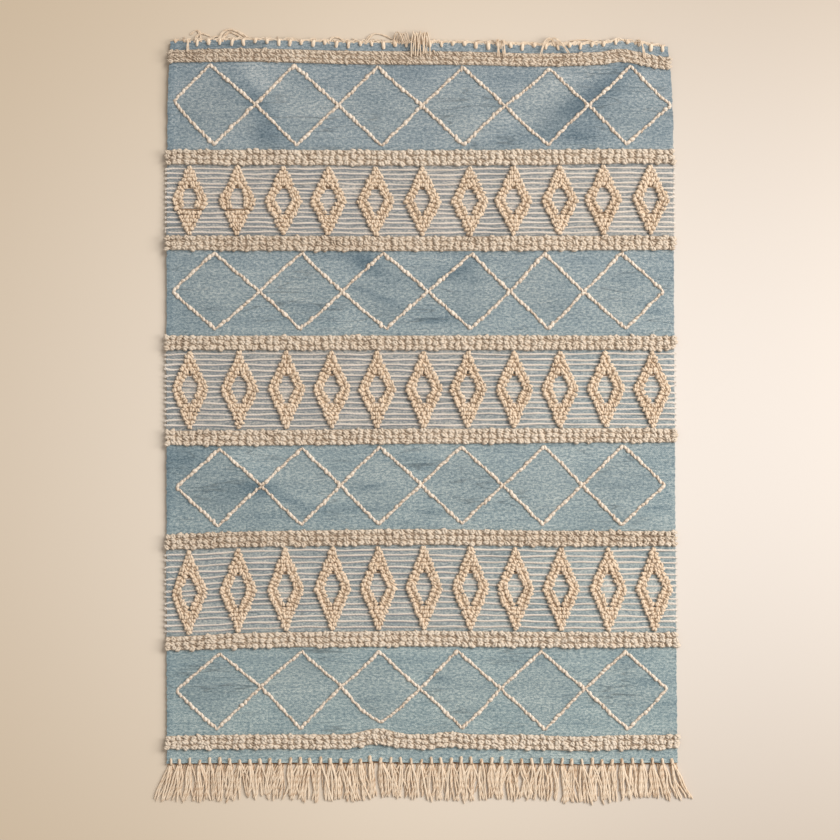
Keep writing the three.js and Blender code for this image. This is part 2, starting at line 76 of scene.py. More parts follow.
# Where the wefts run out of straight: across, along, reach across, reach along, rise
WEFT_PULLS = [
    (-430, 1690, 200, 130, 7),
    (300, 1690, 140, 110, -5),
    (483, 1672, 32, 45, 7),
    (592, 1664, 50, 60, -13),
    (-600, 400, 160, 250, -11),
    (0, 450, 200, 220, 4),
    (-105, 50, 45, 45, 11),
    (70, 50, 30, 40, 7),
    (365, 50, 90, 60, -5),
    (0, 1330, 220, 120, -3),
    (500, 1400, 120, 160, 3),
    (-280, 178, 110, 45, 10),
    (-94, 84, 35, 30, 8),
    (-581, 1552, 60, 50, 8),
    (-400, 758, 240, 50, -4),
    (450, 758, 240, 50, 3),
]

# Soft swells: across, along, half length, half breadth, turn in degrees, rise
SWELLS = [
    (-400, 1560, 190, 85, 42, 6.5),
    (420, 1575, 210, 80, 40, 7),
    (130, 1520, 160, 80, -35, 4.5),
    (-540, 1220, 130, 90, 0, 5),
    (-190, 1130, 180, 80, 30, 5),
    (300, 1200, 170, 85, -28, 5.5),
    (540, 1010, 120, 90, 10, 4.5),
    (-420, 650, 190, 80, -20, 6),
    (150, 590, 200, 85, 15, 4.5),
    (500, 640, 140, 90, 35, 5.5),
    (-100, 230, 220, 80, -12, 5),
    (430, 300, 180, 80, 25, 4.5),
]

# What of the swells stays on the floor, how sharply they leave it, and where they begin over the bottom hem
SWELL_FOOT = 0.9
SWELL_EDGE = 2.0
SWELLS_FROM = (40, 130)

# The cloth climbs onto the fringe that is folded under its top, and over the roots of the bottom one
TOP_CLIMB = 3.2
TOP_CLIMB_SPAN = (1480, 1560)
HEM_CLIMB = 1.6
HEM_CLIMB_SPAN = 16

# Smaller puckers in the open blue cloth, with the same columns as the swells
PUCKERS = [
    (-355, 1500, 70, 34, -48, 3.2),
    (-440, 1600, 80, 30, 38, 2.6),
    (250, 1560, 110, 34, 40, 3.6),
    (455, 1600, 60, 30, 52, 3.0),
    (60, 1490, 90, 26, 8, 2.0),
    (-60, 1080, 70, 24, -22, 2.6),
    (40, 1110, 50, 20, 12, 2.2),
    (-250, 1150, 90, 28, 10, 2.0),
    (330, 1100, 80, 24, -16, 2.4),
    (500, 1130, 60, 24, 20, 2.2),
    (-400, 690, 60, 24, -38, 2.8),
    (-320, 610, 90, 26, -14, 2.4),
    (-40, 640, 90, 24, 6, 2.2),
    (220, 690, 70, 22, -12, 2.4),
    (480, 600, 80, 24, 8, 2.2),
    (-480, 190, 80, 22, 5, 2.0),
    (-120, 150, 110, 24, -6, 2.2),
    (260, 210, 90, 24, 8, 2.4),
    (520, 170, 60, 22, -10, 2.0),
]

# Pile bands from the bottom hem up: middle, breadth
PILE_BANDS = [
    (50, 38),
    (291, 41),
    (530, 42),
    (771, 40),
    (992, 38),
    (1227, 39),
    (1430, 40),
    (1664, 34),
]

# Rows of pile diamonds: the bands below and above, counted from 0, the half width, how many from the left
# have a weaving slit across the foot, and how far each one stands to the right of its even place
DIAMOND_ROWS = [
    (1, 2, 40, 0, (5, 3, 3, 4, 3, 2, 3, 1, 0, 4, 3)),
    (3, 4, 40.5, 0, (7, 6, 6, 3, 2, 3, -1, 0, 0, 0, 2)),
    (5, 6, 40.5, 2, (5, 0, -2, -5, -2, 0, 4, -1, 1, -4, 0)),
]

# Painted shadows in small gaps in the feet of the top row's diamonds: which diamond, counted from 0, level,
# half width
FOOT_GAPS = [
    (2, -0.45, 13),
    (6, -0.46, 19),
    (6, -0.57, 12),
    (7, -0.41, 9),
    (9, -0.38, 12),
    (9, -0.54, 14),
    (10, -0.42, 15),
]

# How many diamonds a row has, how far apart the first and last stand, and how far the row bows to the right
DIAMONDS_IN_ROW = 11
DIAMOND_SPAN = 1092.0
DIAMOND_DRIFT = 10.0

# A diamond's half breadth as shares of its half width, from its foot to its top
DIAMOND_OUTER = [(-1, 0.17), (-0.92, 0.19), (0.0, 1.07), (0.06, 1.07), (0.89, 0.2), (1, 0.17)]

# Half the breadth of an opening, in millimetres, below which nubs fill the diamond
FILLED_UNDER = 2.5

# An opening's half breadth, also as shares, plain and with a flat foot over a slit in the weave
OPENING = [(-0.43, 0), (-0.35, 0.12), (0.0, 0.5), (0.04, 0.5), (0.27, 0.25), (0.42, 0.07), (0.45, 0)]

SLIT = -0.27
SLIT_OPENING = [
    (SLIT - 0.001, 0),
    (SLIT, 0.29),
    (0.0, 0.42),
    (0.1, 0.41),
    (0.3, 0.25),
    (0.41, 0.07),
    (0.43, 0),
]

# Half width of the painted shadow in the slit, and level and half width of the painted shadow in the top
# corner of every opening
SLIT_REACH = 31
TOP_CORNER = (0.38, 5)

# The loops in one nub of a band, of the flatter top band and of a diamond: aside, up, slope in degrees
BAND_NUB = [(-3.4, 1.5, 32), (3.2, 1.4, -30), (0.2, -2.4, 4)]
FLAT_NUB = [(-3.7, 1.3, 15), (3.5, 1.1, -13), (0.2, -1.7, 3)]
DIAMOND_NUB = [(-2.1, 0.8, 62), (2.1, -0.8, 50)]

# Nubs of a band, of the flatter top band and of a diamond: their loops, and the half length, half
# thickness and height of a loop
BAND_NUBS = (BAND_NUB, 4.5, 3.9, 5.5)
FLAT_NUBS = (FLAT_NUB, 5.0, 3.3, 4.2)
DIAMOND_NUBS = (DIAMOND_NUB, 3.8, 4.0, 5.5)

# A band has rows of this many knots. Its rows, the rolls under them and those between them stand off its
# middle by shares of its breadth, and the rolls end short of the pile's sides.
KNOTS_IN_ROW = 74
KNOT_SHARE = 0.3
ROLL_SHARE = 0.32
BETWEEN_SHARE = 0.155
ROLL_INSET = 7
ROLL_RINGS = 61

# How unevenly a band's rows lie, and the tones of its rolls under them and between them, their low tones
# painted shade in the crevices between the nubs
BAND_ROWS = (1, -0.55, -0.9)
FLAT_ROWS = (0.4, -0.9, -1.3)

# A diamond's nubs: from one line of them to the next, from nub to nub in a filled line, how far a wall's
# two nubs stand in from its outer and inner side and from each other along the rug, and from what breadth
# a wall has two
LINE_PITCH = 9.4
FILLED_PITCH = 11.0
OUTER_INSET = 5.2
INNER_INSET = 4.6
WALL_STAGGER = 4.4
TWO_NUBS_OVER = 16.5

# Line diamonds, each row from the bottom: its lower points, crossings and upper points, across at along
LINE_ROWS = [
    (
        (81, [-477, -282, -94, 96, 291, 486]),
        (175, [-572, -374, -185, -1, 188, 385, 578]),
        (263, [-470, -278, -97, 87, 285, 481]),
    ),
    (
        (562, [-472, -277, -95, 100, 289, 474]),
        (655, [-572, -370, -185, 4, 196, 382, 576]),
        (746, [-469, -276, -93, 99, 292, 479]),
    ),
    (
        (1025, [-479, -280, -77, 121, 304, 487]),
        (1113, [-581, -375, -181, 22, 214, 388, 576]),
        (1204, [-481, -276, -85, 125, 295, 476]),
    ),
    (
        (1459, [-483, -289, -88, 106, 305, 491]),
        (1552, [-581, -385, -191, 8, 204, 401, 596]),
        (1643, [-497, -295, -97, 106, 313, 505]),
    ),
]

# Wraps along a line: from one to the next, half length, half breadth, height of their middles, how far a
# line bows, and the turn of each wrap against its line in degrees
WRAP_PITCH = 10.4
WRAP_REACH = 6.9
WRAP_BREADTH = 3.6
WRAP_RISE = 1.5
LINE_BOW = 2.2
WRAP_TURN = 9

# Pinstripes: how many to a field, how far they stand off the bands, the waves they run in as length and
# swing, where they turn at the selvedges, and where they fade to the right
STRIPES_IN_FIELD = 14
STRIPE_GAP = 1
WEFT_WAVES = [(430, 1.1), (160, 0.8), (57, 0.4)]
STRIPES_TURN = (HALF_WIDTH - 13, HALF_WIDTH + 1)
STRIPES_FADE = (-100, 450)

# Their cream wefts and the dark ones under them, which partly stand as painted shadows of the cream ones:
# how far below a stripe's middle, half breadth, half height, height over the cloth, rings and sides of a
# yarn, how far it ends short of the selvedge, and how much paler and how much thinner it gets to the right
CREAM_WEFT = (0, 2.1, 1.1, 0.5, 105, 6, 0, 0.3, 0)
DARK_WEFT_AND_SHADOW = (3.1, 0.95, 0.5, 0.1, 81, 4, 9, 1.2, 0.9)

# How grey the cloth of the pinstriped fields is from the bottom one up, and how much less at the right,
# between what places across that changes, and over what length a field begins and ends
FIELD_GREYS = [(0.6, 0.3), (1.0, 0.6), (1.0, 0.1)]
FIELD_BLUER = (-50, 400)
FIELD_FADE = 8

# Painted shade: the cloth is darker towards the left, where less light falls and its curled
# selvedge turns away from it: from where, how much
LEFT_PAINTED_SHADE = [(470, 0.06), (580, 0.2)]

# It is paler in the diamonds' openings: how much, over what reach across and what share of the height
OPENING_PALER = 0.3
OPENING_REACH = 15
OPENING_SHARE = 0.3

# Lighter and darker places of the cloth, partly uneven dye and partly painted light and shade of its folds
# and painted shadows under the bands: across, along, half length, half breadth, turn in degrees, shade
CLOTH_DYE_AND_SHADE = [
    (-385, 1562, 110, 20, -52, -0.24),
    (-392, 1556, 30, 22, 0, -0.20),
    (-358, 1488, 34, 22, -30, -0.26),
    (-395, 1617, 90, 20, -24, 0.16),
    (-490, 1655, 70, 12, 0, -0.16),
    (388, 1562, 125, 25, 31, -0.34),
    (575, 1490, 40, 30, 0, -0.12),
    (-373, 1630, 50, 12, 0, 0.12),
    (392, 1548, 34, 22, 0, -0.18),
    (330, 1602, 115, 24, 29, 0.20),
    (500, 1636, 60, 18, 20, -0.20),
    (300, 1482, 110, 20, 10, -0.20),
    (455, 1585, 40, 22, 0, -0.12),
    (-42, 1626, 110, 16, 0, -0.14),
    (250, 1626, 60, 14, 0, -0.14),
    (-90, 1570, 70, 14, 8, -0.10),
    (110, 1540, 90, 10, 0, -0.08),
    (190, 1512, 90, 16, 0, 0.14),
    (-200, 1545, 130, 24, 0, 0.10),
    (120, 1480, 60, 12, 0, 0.12),
    (540, 1480, 40, 14, 0, -0.08),
    (-538, 1620, 50, 20, 0, -0.10),
    (0, 1688, 700, 12, 0, -0.05),
    (-540, 1688, 80, 20, 0, -0.12),
    (-373, 1580, 34, 18, 0, 0.16),
    (-373, 1480, 34, 18, 0, -0.13),
    (-208, 1480, 36, 18, 0, 0.16),
    (123, 1506, 36, 34, 0, 0.11),
    (371, 1482, 38, 18, 0, -0.18),
    (371, 1532, 34, 16, 0, -0.08),
    (453, 1580, 34, 18, 0, -0.10),
    (-538, 1186, 34, 18, 0, -0.10),
    (-125, 1186, 30, 18, 0, -0.15),
    (123, 1141, 36, 18, 0, -0.17),
    (-208, 1044, 34, 16, 0, -0.10),
    (-42, 722, 34, 16, 0, -0.10),
    (205, 722, 34, 16, 0, 0.14),
    (-456, 677, 34, 16, 0, -0.12),
    (-455, 630, 90, 18, 0, -0.18),
    (-208, 630, 34, 16, 0, 0.12),
    (205, 630, 36, 16, 0, 0.13),
    (-290, 583, 34, 14, 0, -0.10),
    (-42, 583, 34, 14, 0, 0.11),
    (205, 583, 34, 14, 0, 0.10),
    (-538, 218, 36, 34, 0, -0.14),
    (-42, 195, 34, 16, 0, 0.11),
    (-84, 148, 70, 18, 0, 0.16),
    (123, 148, 34, 16, 0, 0.11),
    (-538, 20, 50, 12, 0, 0.12),
    (165, 20, 60, 12, 0, 0.12),
    (371, 20, 40, 12, 0, 0.12),
    (380, 881, 300, 90, 0, 0.05),
    (380, 410, 300, 90, 0, 0.05),
    (-125, 1186, 24, 22, 0, -0.18),
    (108, 1165, 40, 40, 0, -0.14),
    (-373, 630, 24, 24, 0, -0.17),
    (-373, 583, 70, 20, 0, -0.09),
    (-125, 240, 22, 20, 0, -0.13),
    (-373, 1500, 24, 50, 0, -0.1),
    (376, 1480, 50, 24, 0, -0.2),
    (520, 1550, 60, 60, 0, -0.06),
    (-396, 1620, 40, 14, 0, 0.05),
    (294, 650, 60, 50, 0, 0.04),
    (93, 170, 50, 50, 0, 0.04),
    (-379, 730, 46, 16, 0, 0.05),
    (300, 1480, 30, 22, 0, -0.08),
    (400, 1532, 40, 22, 0, -0.09),
    (288, 1623, 30, 20, 0, -0.1),
    (371, 1623, 24, 20, 0, -0.1),
    (-140, 1188, 80, 22, -28, -0.32),
    (-215, 1196, 60, 10, 0, -0.16),
    (-100, 1102, 52, 8, -22, -0.30),
    (-160, 1118, 40, 8, 0, -0.14),
    (-300, 1084, 50, 8, -8, -0.18),
    (-290, 1100, 60, 8, -8, 0.12),
    (82, 1158, 64, 12, 24, -0.30),
    (50, 1190, 60, 12, 0, 0.06),
    (34, 1046, 30, 8, 0, -0.36),
    (0, 1070, 90, 16, 0, -0.14),
    (70, 1048, 90, 12, 0, -0.12),
    (-147, 1038, 40, 8, -5, 0.24),
    (-380, 1046, 190, 16, 0, -0.10),
    (556, 1066, 30, 8, 0, -0.30),
    (520, 1086, 40, 8, 0, -0.18),
    (530, 1112, 40, 8, 0, 0.14),
    (371, 1190, 50, 14, 0, -0.18),
    (123, 1190, 40, 14, 0, -0.14),
    (-420, 1190, 60, 12, 0, -0.10),
    (-555, 718, 70, 26, 0, -0.34),
    (-600, 650, 40, 50, 0, -0.20),
    (-400, 653, 110, 12, 0, -0.26),
    (-385, 652, 34, 16, 0, -0.24),
    (-310, 622, 75, 11, -22, -0.32),
    (-200, 602, 70, 9, 0, -0.20),
    (-440, 626, 60, 12, 0, -0.12),
    (-115, 651, 34, 7, 6, -0.34),
    (-150, 680, 34, 12, 0, 0.10),
    (-140, 594, 60, 6, 0, -0.24),
    (-120, 566, 60, 7, 0, -0.14),
    (28, 590, 26, 6, 0, -0.30),
    (30, 622, 30, 6, 0, -0.12),
    (12, 704, 44, 14, 0, -0.22),
    (62, 728, 50, 10, 0, 0.12),
    (470, 655, 60, 6, 0, -0.14),
    (440, 686, 70, 6, 0, -0.08),
    (553, 602, 34, 7, 0, -0.30),
    (470, 580, 90, 9, 0, -0.10),
    (-330, 582, 60, 10, 0, -0.10),
    (-100, 150, 46, 9, 4, -0.22),
    (-90, 190, 80, 16, 0, 0.08),
    (40, 198, 26, 9, -10, -0.24),
    (8, 140, 16, 40, 0, -0.12),
    (530, 188, 50, 16, 0, -0.24),
    (545, 132, 40, 10, 0, -0.14),
    (560, 236, 40, 8, 0, 0.12),
    (371, 100, 45, 14, 0, -0.12),
    (120, 160, 110, 14, 0, 0.06),
    (0, 244, 640, 9, 0, -0.10),
    (-500, 190, 80, 40, 0, -0.08),
    (330, 20, 90, 16, 0, 0.16),
]

# Lighter and darker stretches of the pile, partly uneven tone and partly painted shade, as at the top band's
# left end: across, along, reach across, tone
PILE_TONES_AND_SHADE = [
    (-560, 1664, 75, -0.8),
    (-42, 1664, 40, -0.5),
    (0, 1664, 900, -0.35),
    (0, 1227, 900, -0.15),
    (0, 291, 900, 0.4),
    (0, 50, 900, 0.5),
    (0, 771, 900, 0.15),
    (0, 1430, 900, 0.3),
    (0, 992, 900, 0.15),
    (-540, 291, 90, -0.3),
    (20, 1430, 210, 0.5),
    (-215, 1227, 50, -0.5),
    (-120, 992, 40, -0.6),
    (-440, 1227, 100, -0.3),
    (340, 771, 240, 0.4),
    (100, 530, 80, 0.6),
    (-370, 530, 120, -0.4),
    (330, 530, 70, -0.4),
    (330, 291, 260, 0.3),
    (360, 50, 260, 0.4),
]
PILE_TONE_REACH = 60

# How many tassels each hem has, and how many rings a folded or loose strand has
BOTTOM_TASSELS = 51
TOP_TASSELS = 43
WAY_RINGS = 13

# Strands of a bottom tassel: how many, their length, the share of them that is cut short and to what,
# the share that strays, how far, and how far to the sides their tips may lie
STRANDS = 7
STRAND_LENGTH = 86
SHORT_STRANDS = (0.06, 0.72)
STRAY_STRANDS = (0.36, 34)
TIPS_WITHIN = (-624, 640)

# Darker strands under them, their darkness painted shade: how many, from what to what length
UNDER_STRANDS = 160
UNDER_LENGTHS = (58, 82)

# The wraps of the tassels where they come through the bottom and the top hem: how far from the hem they
# begin, how far past it they end, half breadth, tones
BOTTOM_TICKS = ((8, 15), 5.5, 3.9, (-0.3, 0.6))
TOP_TICKS = ((5, 15), 3.5, 4.4, (0.7, 1.4))
TOP_TICKS_FROM = -535

# How far the outermost bottom tassels lean outwards, and how far to the sides a parting acts
EDGE_LEAN = 25
PARTING_REACH = 45

# Places where the bottom tassels part: across, how wide
PARTINGS = [(-183, 12), (-257, 7), (67, 11), (149, 11), (356, 7)]

# Loose locks at the top: from, out past the hem, to, over (inwards from the hem)
LOOSE_LOCKS = [
    (-549, 6, -551, 27),
    (-520, 28, -546, -16),
    (-536, 20, -500, -10),
    (-481, 30, -408, -4),
    (-470, 23, -424, -5),
    (-500, 12, -462, -3),
    (-214, 15, -176, -4),
    (-126, 26, -62, -8),
    (190, 13, 191, 31),
    (203, 12, 205, 31),
    (330, 20, 290, 29),
    (304, 20, 358, 22),
    (430, 12, 366, -9),
    (521, 10, 540, 34),
]

# The tassel that has flopped over the top hem, and the strands that lean beside it: how many, where the
# first begins and how far to the next, where its tip lies and how far to the next, out past the hem, over
FLOPPED = (9, -9, 3.4, -17, 5.5, 31, 31)
LEANING = (4, -60, 7, -30, 5, 29, 3)

# Thin strays of the top hem: from where to where, how many places, and the share of them left out
STRAYS = (-560, 560, 46, 0.5)

# Where loose fibres start along the top hem: from, to, every
FUZZ_STARTS = [(-535.0, 560.0, 6.0), (195.0, 440.0, 5.0), (20.0, 190.0, 9.0)]


def clear_selection():
    """Nothing is selected and object mode is on."""
    if bpy.context.object and bpy.context.object.mode != "OBJECT":
        bpy.ops.object.mode_set(mode="OBJECT")
    bpy.ops.object.select_all(action="DESELECT")


def smoothstep(value, low, high):
    """0 below low, 1 above high and a soft ramp between them."""
    share = np.clip((value - low) / (high - low), 0, 1)
    return share * share * (3 - 2 * share)


def strength(across, along, row_across, row_along, reach_across, reach_along, turn=0.0):
    """How strongly a pull, swell or shade acts at a woven place, 1 in its middle."""
    angle = math.radians(turn)
    a, b = across - row_across, along - row_along
    lengthwise = (a * math.cos(angle) + b * math.sin(angle)) / reach_across
    crosswise = (b * math.cos(angle) - a * math.sin(angle)) / reach_along
    return np.exp(-(lengthwise**2) - crosswise**2)


def lift_at(across, along):
    """How far the cloth's underside stands off the floor."""
    swell = np.zeros(np.broadcast(across, along).shape)
    for *place, rise in SWELLS:
        swell = swell + rise * strength(across, along, *place)
    free = smoothstep(along, *SWELLS_FROM)
    lift = np.logaddexp(0, (swell - SWELL_FOOT) * SWELL_EDGE) / SWELL_EDGE * free
    for *place, rise in PUCKERS:
        lift = lift + rise * strength(across, along, *place) * free
    lift = lift + SELVEDGE_CURL * smoothstep(-across, -SELVEDGE_FROM, HALF_WIDTH + PAST_EDGE)
    lift = lift + TOP_CLIMB * smoothstep(along, *TOP_CLIMB_SPAN)
    return lift + HEM_CLIMB * smoothstep(-along, -HEM_CLIMB_SPAN, 0)


def laid(across, along, high):
    """A woven place, and a height above the cloth's underside, as places on the floor in metres."""
    across, along, high = np.broadcast_arrays(
        np.asarray(across, float), np.asarray(along, float), np.asarray(high, float)
    )
    stations = [row[0] for row in SIDE_EDGES]
    left = np.interp(along, stations, [row[1] for row in SIDE_EDGES])
    right = np.interp(along, stations, [row[2] for row in SIDE_EDGES])
    pull = np.zeros(across.shape)
    for *place, rise in WEFT_PULLS:
        pull = pull + rise * strength(across, along, *place)
    x = left + (right - left) * (across / CLOTH_WIDTH + 0.5)
    x = x + SELVEDGE_DRAW * np.clip((SELVEDGE_FROM - across) / (SELVEDGE_FROM + HALF_WIDTH), 0, 1)
    y = along + pull - CLOTH_LENGTH / 2
    return np.stack([x, y, lift_at(across, along) + high], -1) / 1000


@functools.cache
def yarn_round(steps, sides):
    """A unit length of yarn along +X, drawn ring by ring from a round of its section."""
    clear_selection()
    bpy.ops.mesh.primitive_circle_add(
        vertices=sides, radius=1, fill_type="NGON", rotation=(0, math.pi / 2, 0)
    )
    yarn = bpy.context.object
    yarn.name = f"yarn_{steps}_{sides}"
    bpy.ops.object.transform_apply(location=True, rotation=True, scale=True)
    bpy.ops.object.mode_set(mode="EDIT")
    bpy.ops.mesh.select_all(action="SELECT")
    for _ in range(steps):
        bpy.ops.mesh.extrude_region_move(TRANSFORM_OT_translate={"value": (1 / steps, 0, 0)})
    bpy.ops.mesh.select_all(action="SELECT")
    bpy.ops.mesh.normals_make_consistent(inside=False)
    bpy.ops.object.mode_set(mode="OBJECT")
    points = np.array([v.co for v in yarn.data.vertices])
    ring = np.round(points[:, 0] * steps).astype(int)
    section = points[:, 1:]
    faces = [list(face.vertices) for face in yarn.data.polygons]
    bpy.data.objects.remove(yarn)
    return ring, section, faces


def on_points(mesh, name, values, kind="FLOAT"):
    """A value or vector for each point, which a material reads by name."""
    attribute = mesh.attributes.new(name, kind, "POINT")
    field = "value" if kind == "FLOAT" else "vector"
    attribute.data.foreach_set(field, values.astype(np.float32).ravel())


def lay_yarns(name, centres, broad, tall, tone, sides=6, aside=None):
    """One mesh of many yarns. centres is yarns x rings x 3 in metres, broad and tall are the half
    breadth and half height of each ring in millimetres, and tone is the shade of each yarn or ring."""
    count, rings = centres.shape[:2]
    ring, section, faces = yarn_round(rings - 1, sides)
    heading = np.gradient(centres, axis=1)
    heading /= np.linalg.norm(heading, axis=2, keepdims=True)
    if aside is None:
        aside = np.cross(heading, [0.0, 0.0, 1.0])
    else:
        aside = np.broadcast_to(aside, centres.shape)
    aside = aside / np.maximum(np.linalg.norm(aside, axis=2, keepdims=True), 1e-9)
    upward = np.cross(aside, heading)
    broad, tall = (np.broadcast_to(size, (count, rings))[:, ring, None] / 1000 for size in (broad, tall))
    a, b = section.T
    points = centres[:, ring] + aside[:, ring] * broad * a[:, None] + upward[:, ring] * tall * b[:, None]
    step = len(ring)
    mesh = bpy.data.meshes.new(name)
    whole = [[v + step * k for v in face] for k in range(count) for face in faces]
    mesh.from_pydata(points.reshape(-1, 3).tolist(), [], whole)
    far = np.zeros((count, rings))
    far[:, 1:] = np.cumsum(np.linalg.norm(np.diff(centres, axis=1), axis=2), axis=1)
    tone = np.asarray(tone, float)
    on_points(mesh, "spun", np.stack(np.broadcast_arrays(far[:, ring], a, b), -1), "FLOAT_VECTOR")
    on_points(mesh, "tone", np.broadcast_to(tone.reshape(len(tone), -1), (count, rings))[:, ring])
    mesh.update()
    piece = bpy.data.objects.new(name, mesh)
    bpy.context.collection.objects.link(piece)
    clear_selection()
    piece.select_set(True)
    bpy.context.view_layer.objects.active = piece
    bpy.ops.object.mode_set(mode="EDIT")
    bpy.ops.mesh.select_all(action="SELECT")
    bpy.ops.mesh.normals_make_consistent(inside=False)
    bpy.ops.object.mode_set(mode="OBJECT")
    bpy.ops.object.shade_smooth_by_angle(angle=math.radians(75))
    return piece


def join_pieces(name, parts):
    """The parts as one piece."""
    clear_selection()
    for part in parts:
        part.select_set(True)
    bpy.context.view_layer.objects.active = parts[0]
    bpy.ops.object.join()
    parts[0].name = name
    parts[0].data.name = name
    return parts[0]


def between_bands(row, gap):
    """From where to where a row of diamonds has its field, a gap off the bands below and above it."""
    below, above, *_ = row
    low = PILE_BANDS[below][0] + PILE_BANDS[below][1] / 2 + gap
    high = PILE_BANDS[above][0] - PILE_BANDS[above][1] / 2 - gap
    return low, high


def diamond_height(row):
    """The middle and half height of a row of pile diamonds."""
    low, high = between_bands(row, 0.5)
    return (low + high) / 2, (high - low) / 2


def diamond_across(row, place):
    """Where a pile diamond of a row stands."""
    share = place / (DIAMONDS_IN_ROW - 1)
    drift = DIAMOND_DRIFT * math.sin(math.pi * math.sqrt(share))
    return (share - 0.5) * DIAMOND_SPAN + drift + row[-1][place]


# The blue cloth


def inside_lines(across, along):
    """1 within the line diamonds, 0 outside them."""
    inside = np.zeros(across.shape)
    outer, inner = 1.04, 0.98
    for (low, _), (middle, crossings), (high, _) in LINE_ROWS:
        reach = (high - low) / 2
        for left, right in zip(crossings, crossings[1:]):
            half = (right - left) / 2
            off = np.abs(across - (left + right) / 2) / half + np.abs(along - middle) / reach
            inside = np.maximum(inside, smoothstep(-off, -outer, -inner))
    return inside


def in_fields(across, along):
    """How grey the cloth is in the pinstriped fields between the pairs of bands, 0 outside them."""
    within = np.zeros(along.shape)
    for (below, above, *_), (greyer, bluer) in zip(DIAMOND_ROWS, FIELD_GREYS):
        low, high = PILE_BANDS[below][0], PILE_BANDS[above][0]
        row = smoothstep(along, low, low + FIELD_FADE) * smoothstep(-along, -high, FIELD_FADE - high)
        within = np.maximum(within, row * (greyer - bluer * smoothstep(across, *FIELD_BLUER)))
    return within


def cloth_shade(across, along):
    """The cloth's uneven dye and its painted light and shade, 1 where it is plain."""
    shade = np.ones(across.shape)
    for begins, darker in LEFT_PAINTED_SHADE:
        shade = shade - darker * smoothstep(-across, begins, HALF_WIDTH)
    # Partly uneven dye, partly painted light and shade of the folds and painted shadows under the bands
    for *place, deep in CLOTH_DYE_AND_SHADE:
        shade = shade * (1 + deep * strength(across, along, *place))
    for row in DIAMOND_ROWS:
        middle, half = diamond_height(row)
        for place in range(DIAMONDS_IN_ROW):
            opening = diamond_across(row, place), middle, OPENING_REACH, half * OPENING_SHARE
            shade = shade + OPENING_PALER * strength(across, along, *opening)
    return shade


def blue_cloth():
    columns, rows = CLOTH_GRID
    clear_selection()
    bpy.ops.mesh.primitive_grid_add(x_subdivisions=columns, y_subdivisions=rows, size=1)
    cloth = bpy.context.object
    cloth.name = "ground_cloth"
    mesh = cloth.data
    flat = np.array([v.co for v in mesh.vertices])
    across = flat[:, 0] * CLOTH_WIDTH
    along = (flat[:, 1] + 0.5) * CLOTH_LENGTH
    high = np.full(len(flat), CLOTH_THICK)
    high += RIPPLE * np.sin(along / 9.0 + 2 * np.sin(across / 70.0)) * np.sin(across / 38.0 + along / 150.0)
    places = laid(across, along, high)
    ragged = rng.uniform(-RAGGED, RAGGED, len(flat)) / 1000
    at_selvedge, at_hem = (np.abs(flat[:, axis]) > 0.4999 for axis in (0, 1))
    places[:, 0] += np.where(at_selvedge, ragged * SELVEDGE_RAGGED, 0)
    places[:, 1] += np.where(at_hem, ragged, 0)
    mesh.vertices.foreach_set("co", places.astype(np.float32).ravel())
    woven = mesh.uv_layers[0]
    woven.name = "woven"
    corner = np.zeros(len(mesh.loops), int)
    mesh.loops.foreach_get("vertex_index", corner)
    uv = np.stack([across, along], -1)[corner] / 1000
    woven.uv.foreach_set("vector", uv.astype(np.float32).ravel())
    on_points(mesh, "inside", inside_lines(across, along))
    on_points(mesh, "field", in_fields(across, along))
    on_points(mesh, "shade", cloth_shade(across, along))
    mesh.update()
    thick = cloth.modifiers.new("thick", "SOLIDIFY")
    thick.thickness = CLOTH_THICK / 1000
    thick.offset = -1
    bpy.ops.object.modifier_apply(modifier="thick")
    bpy.ops.object.shade_smooth_by_angle(angle=math.radians(50))
    return cloth


# Pinstripes: a thick cream weft at every few turns of the loom, a dark one under it that is partly its
# painted shadow


def stripe_yarns(name, below, breadth, tall, high, rings, sides, inset, faded, thinner):
    """One weft to each pinstripe, set below its middle, with a bump where it turns at the selvedges."""
    across, along = [], []
    walk = np.random.default_rng(5)
    for row in DIAMOND_ROWS:
        low, top = between_bands(row, STRIPE_GAP)
        pitch = (top - low) / STRIPES_IN_FIELD
        share = np.linspace(-1, 1, rings)
        a = np.tile(share * (HALF_WIDTH + 4.5 - inset), (STRIPES_IN_FIELD, 1))
        number = np.arange(STRIPES_IN_FIELD)[:, None]
        b = low + (number + 0.5) * pitch + np.zeros_like(a)
        for long, swing in WEFT_WAVES:
            phase = walk.uniform(0, 2 * math.pi, (STRIPES_IN_FIELD, 1))
            b = b + swing * np.sin(a / long * 2 * math.pi + phase)
        even = np.where(number % 2 == 0, 1, -1)
        side = np.where(a < 0, even, -even)
        away = side * 1.4 + walk.normal(0, 1.2, (STRIPES_IN_FIELD, 1))
        across.append(a)
        along.append(b + away * smoothstep(np.abs(a), *STRIPES_TURN) ** 2 - below)
    across, along = np.concatenate(across), np.concatenate(along)
    count = len(across)
    turning = smoothstep(np.abs(across), *STRIPES_TURN)
    fading = smoothstep(across, *STRIPES_FADE)
    phases = [rng.uniform(0, 6, (count, 1)) for _ in range(2)]
    fat = 1 + 0.22 * np.sin(across / 19 + phases[0]) * np.sin(across / 47 + phases[1])
    sunk = rng.uniform(-0.3, 0.3, (count, 1)) + 0.35 * np.sin(across / 60 + rng.uniform(0, 6, (count, 1)))
    centres = laid(across, along, CLOTH_THICK + high + sunk - 2.0 * turning**3)
    fat = fat * (1 + 0.4 * turning)
    tone = rng.uniform(0, 1, (count, 1)) + faded * fading
    fat = fat * (1 - thinner * fading)
    return lay_yarns(name, centres, breadth * fat, tall * fat, tone, sides=sides)


# Looped pile


def pile_tone(across, along):
    """How much lighter or darker the pile is at a woven place, from uneven tone and painted shade."""
    tone = np.zeros(across.shape)
    for place, row, reach, rise in PILE_TONES_AND_SHADE:
        tone = tone + rise * strength(across, along, place, row, reach, PILE_TONE_REACH)
    return tone


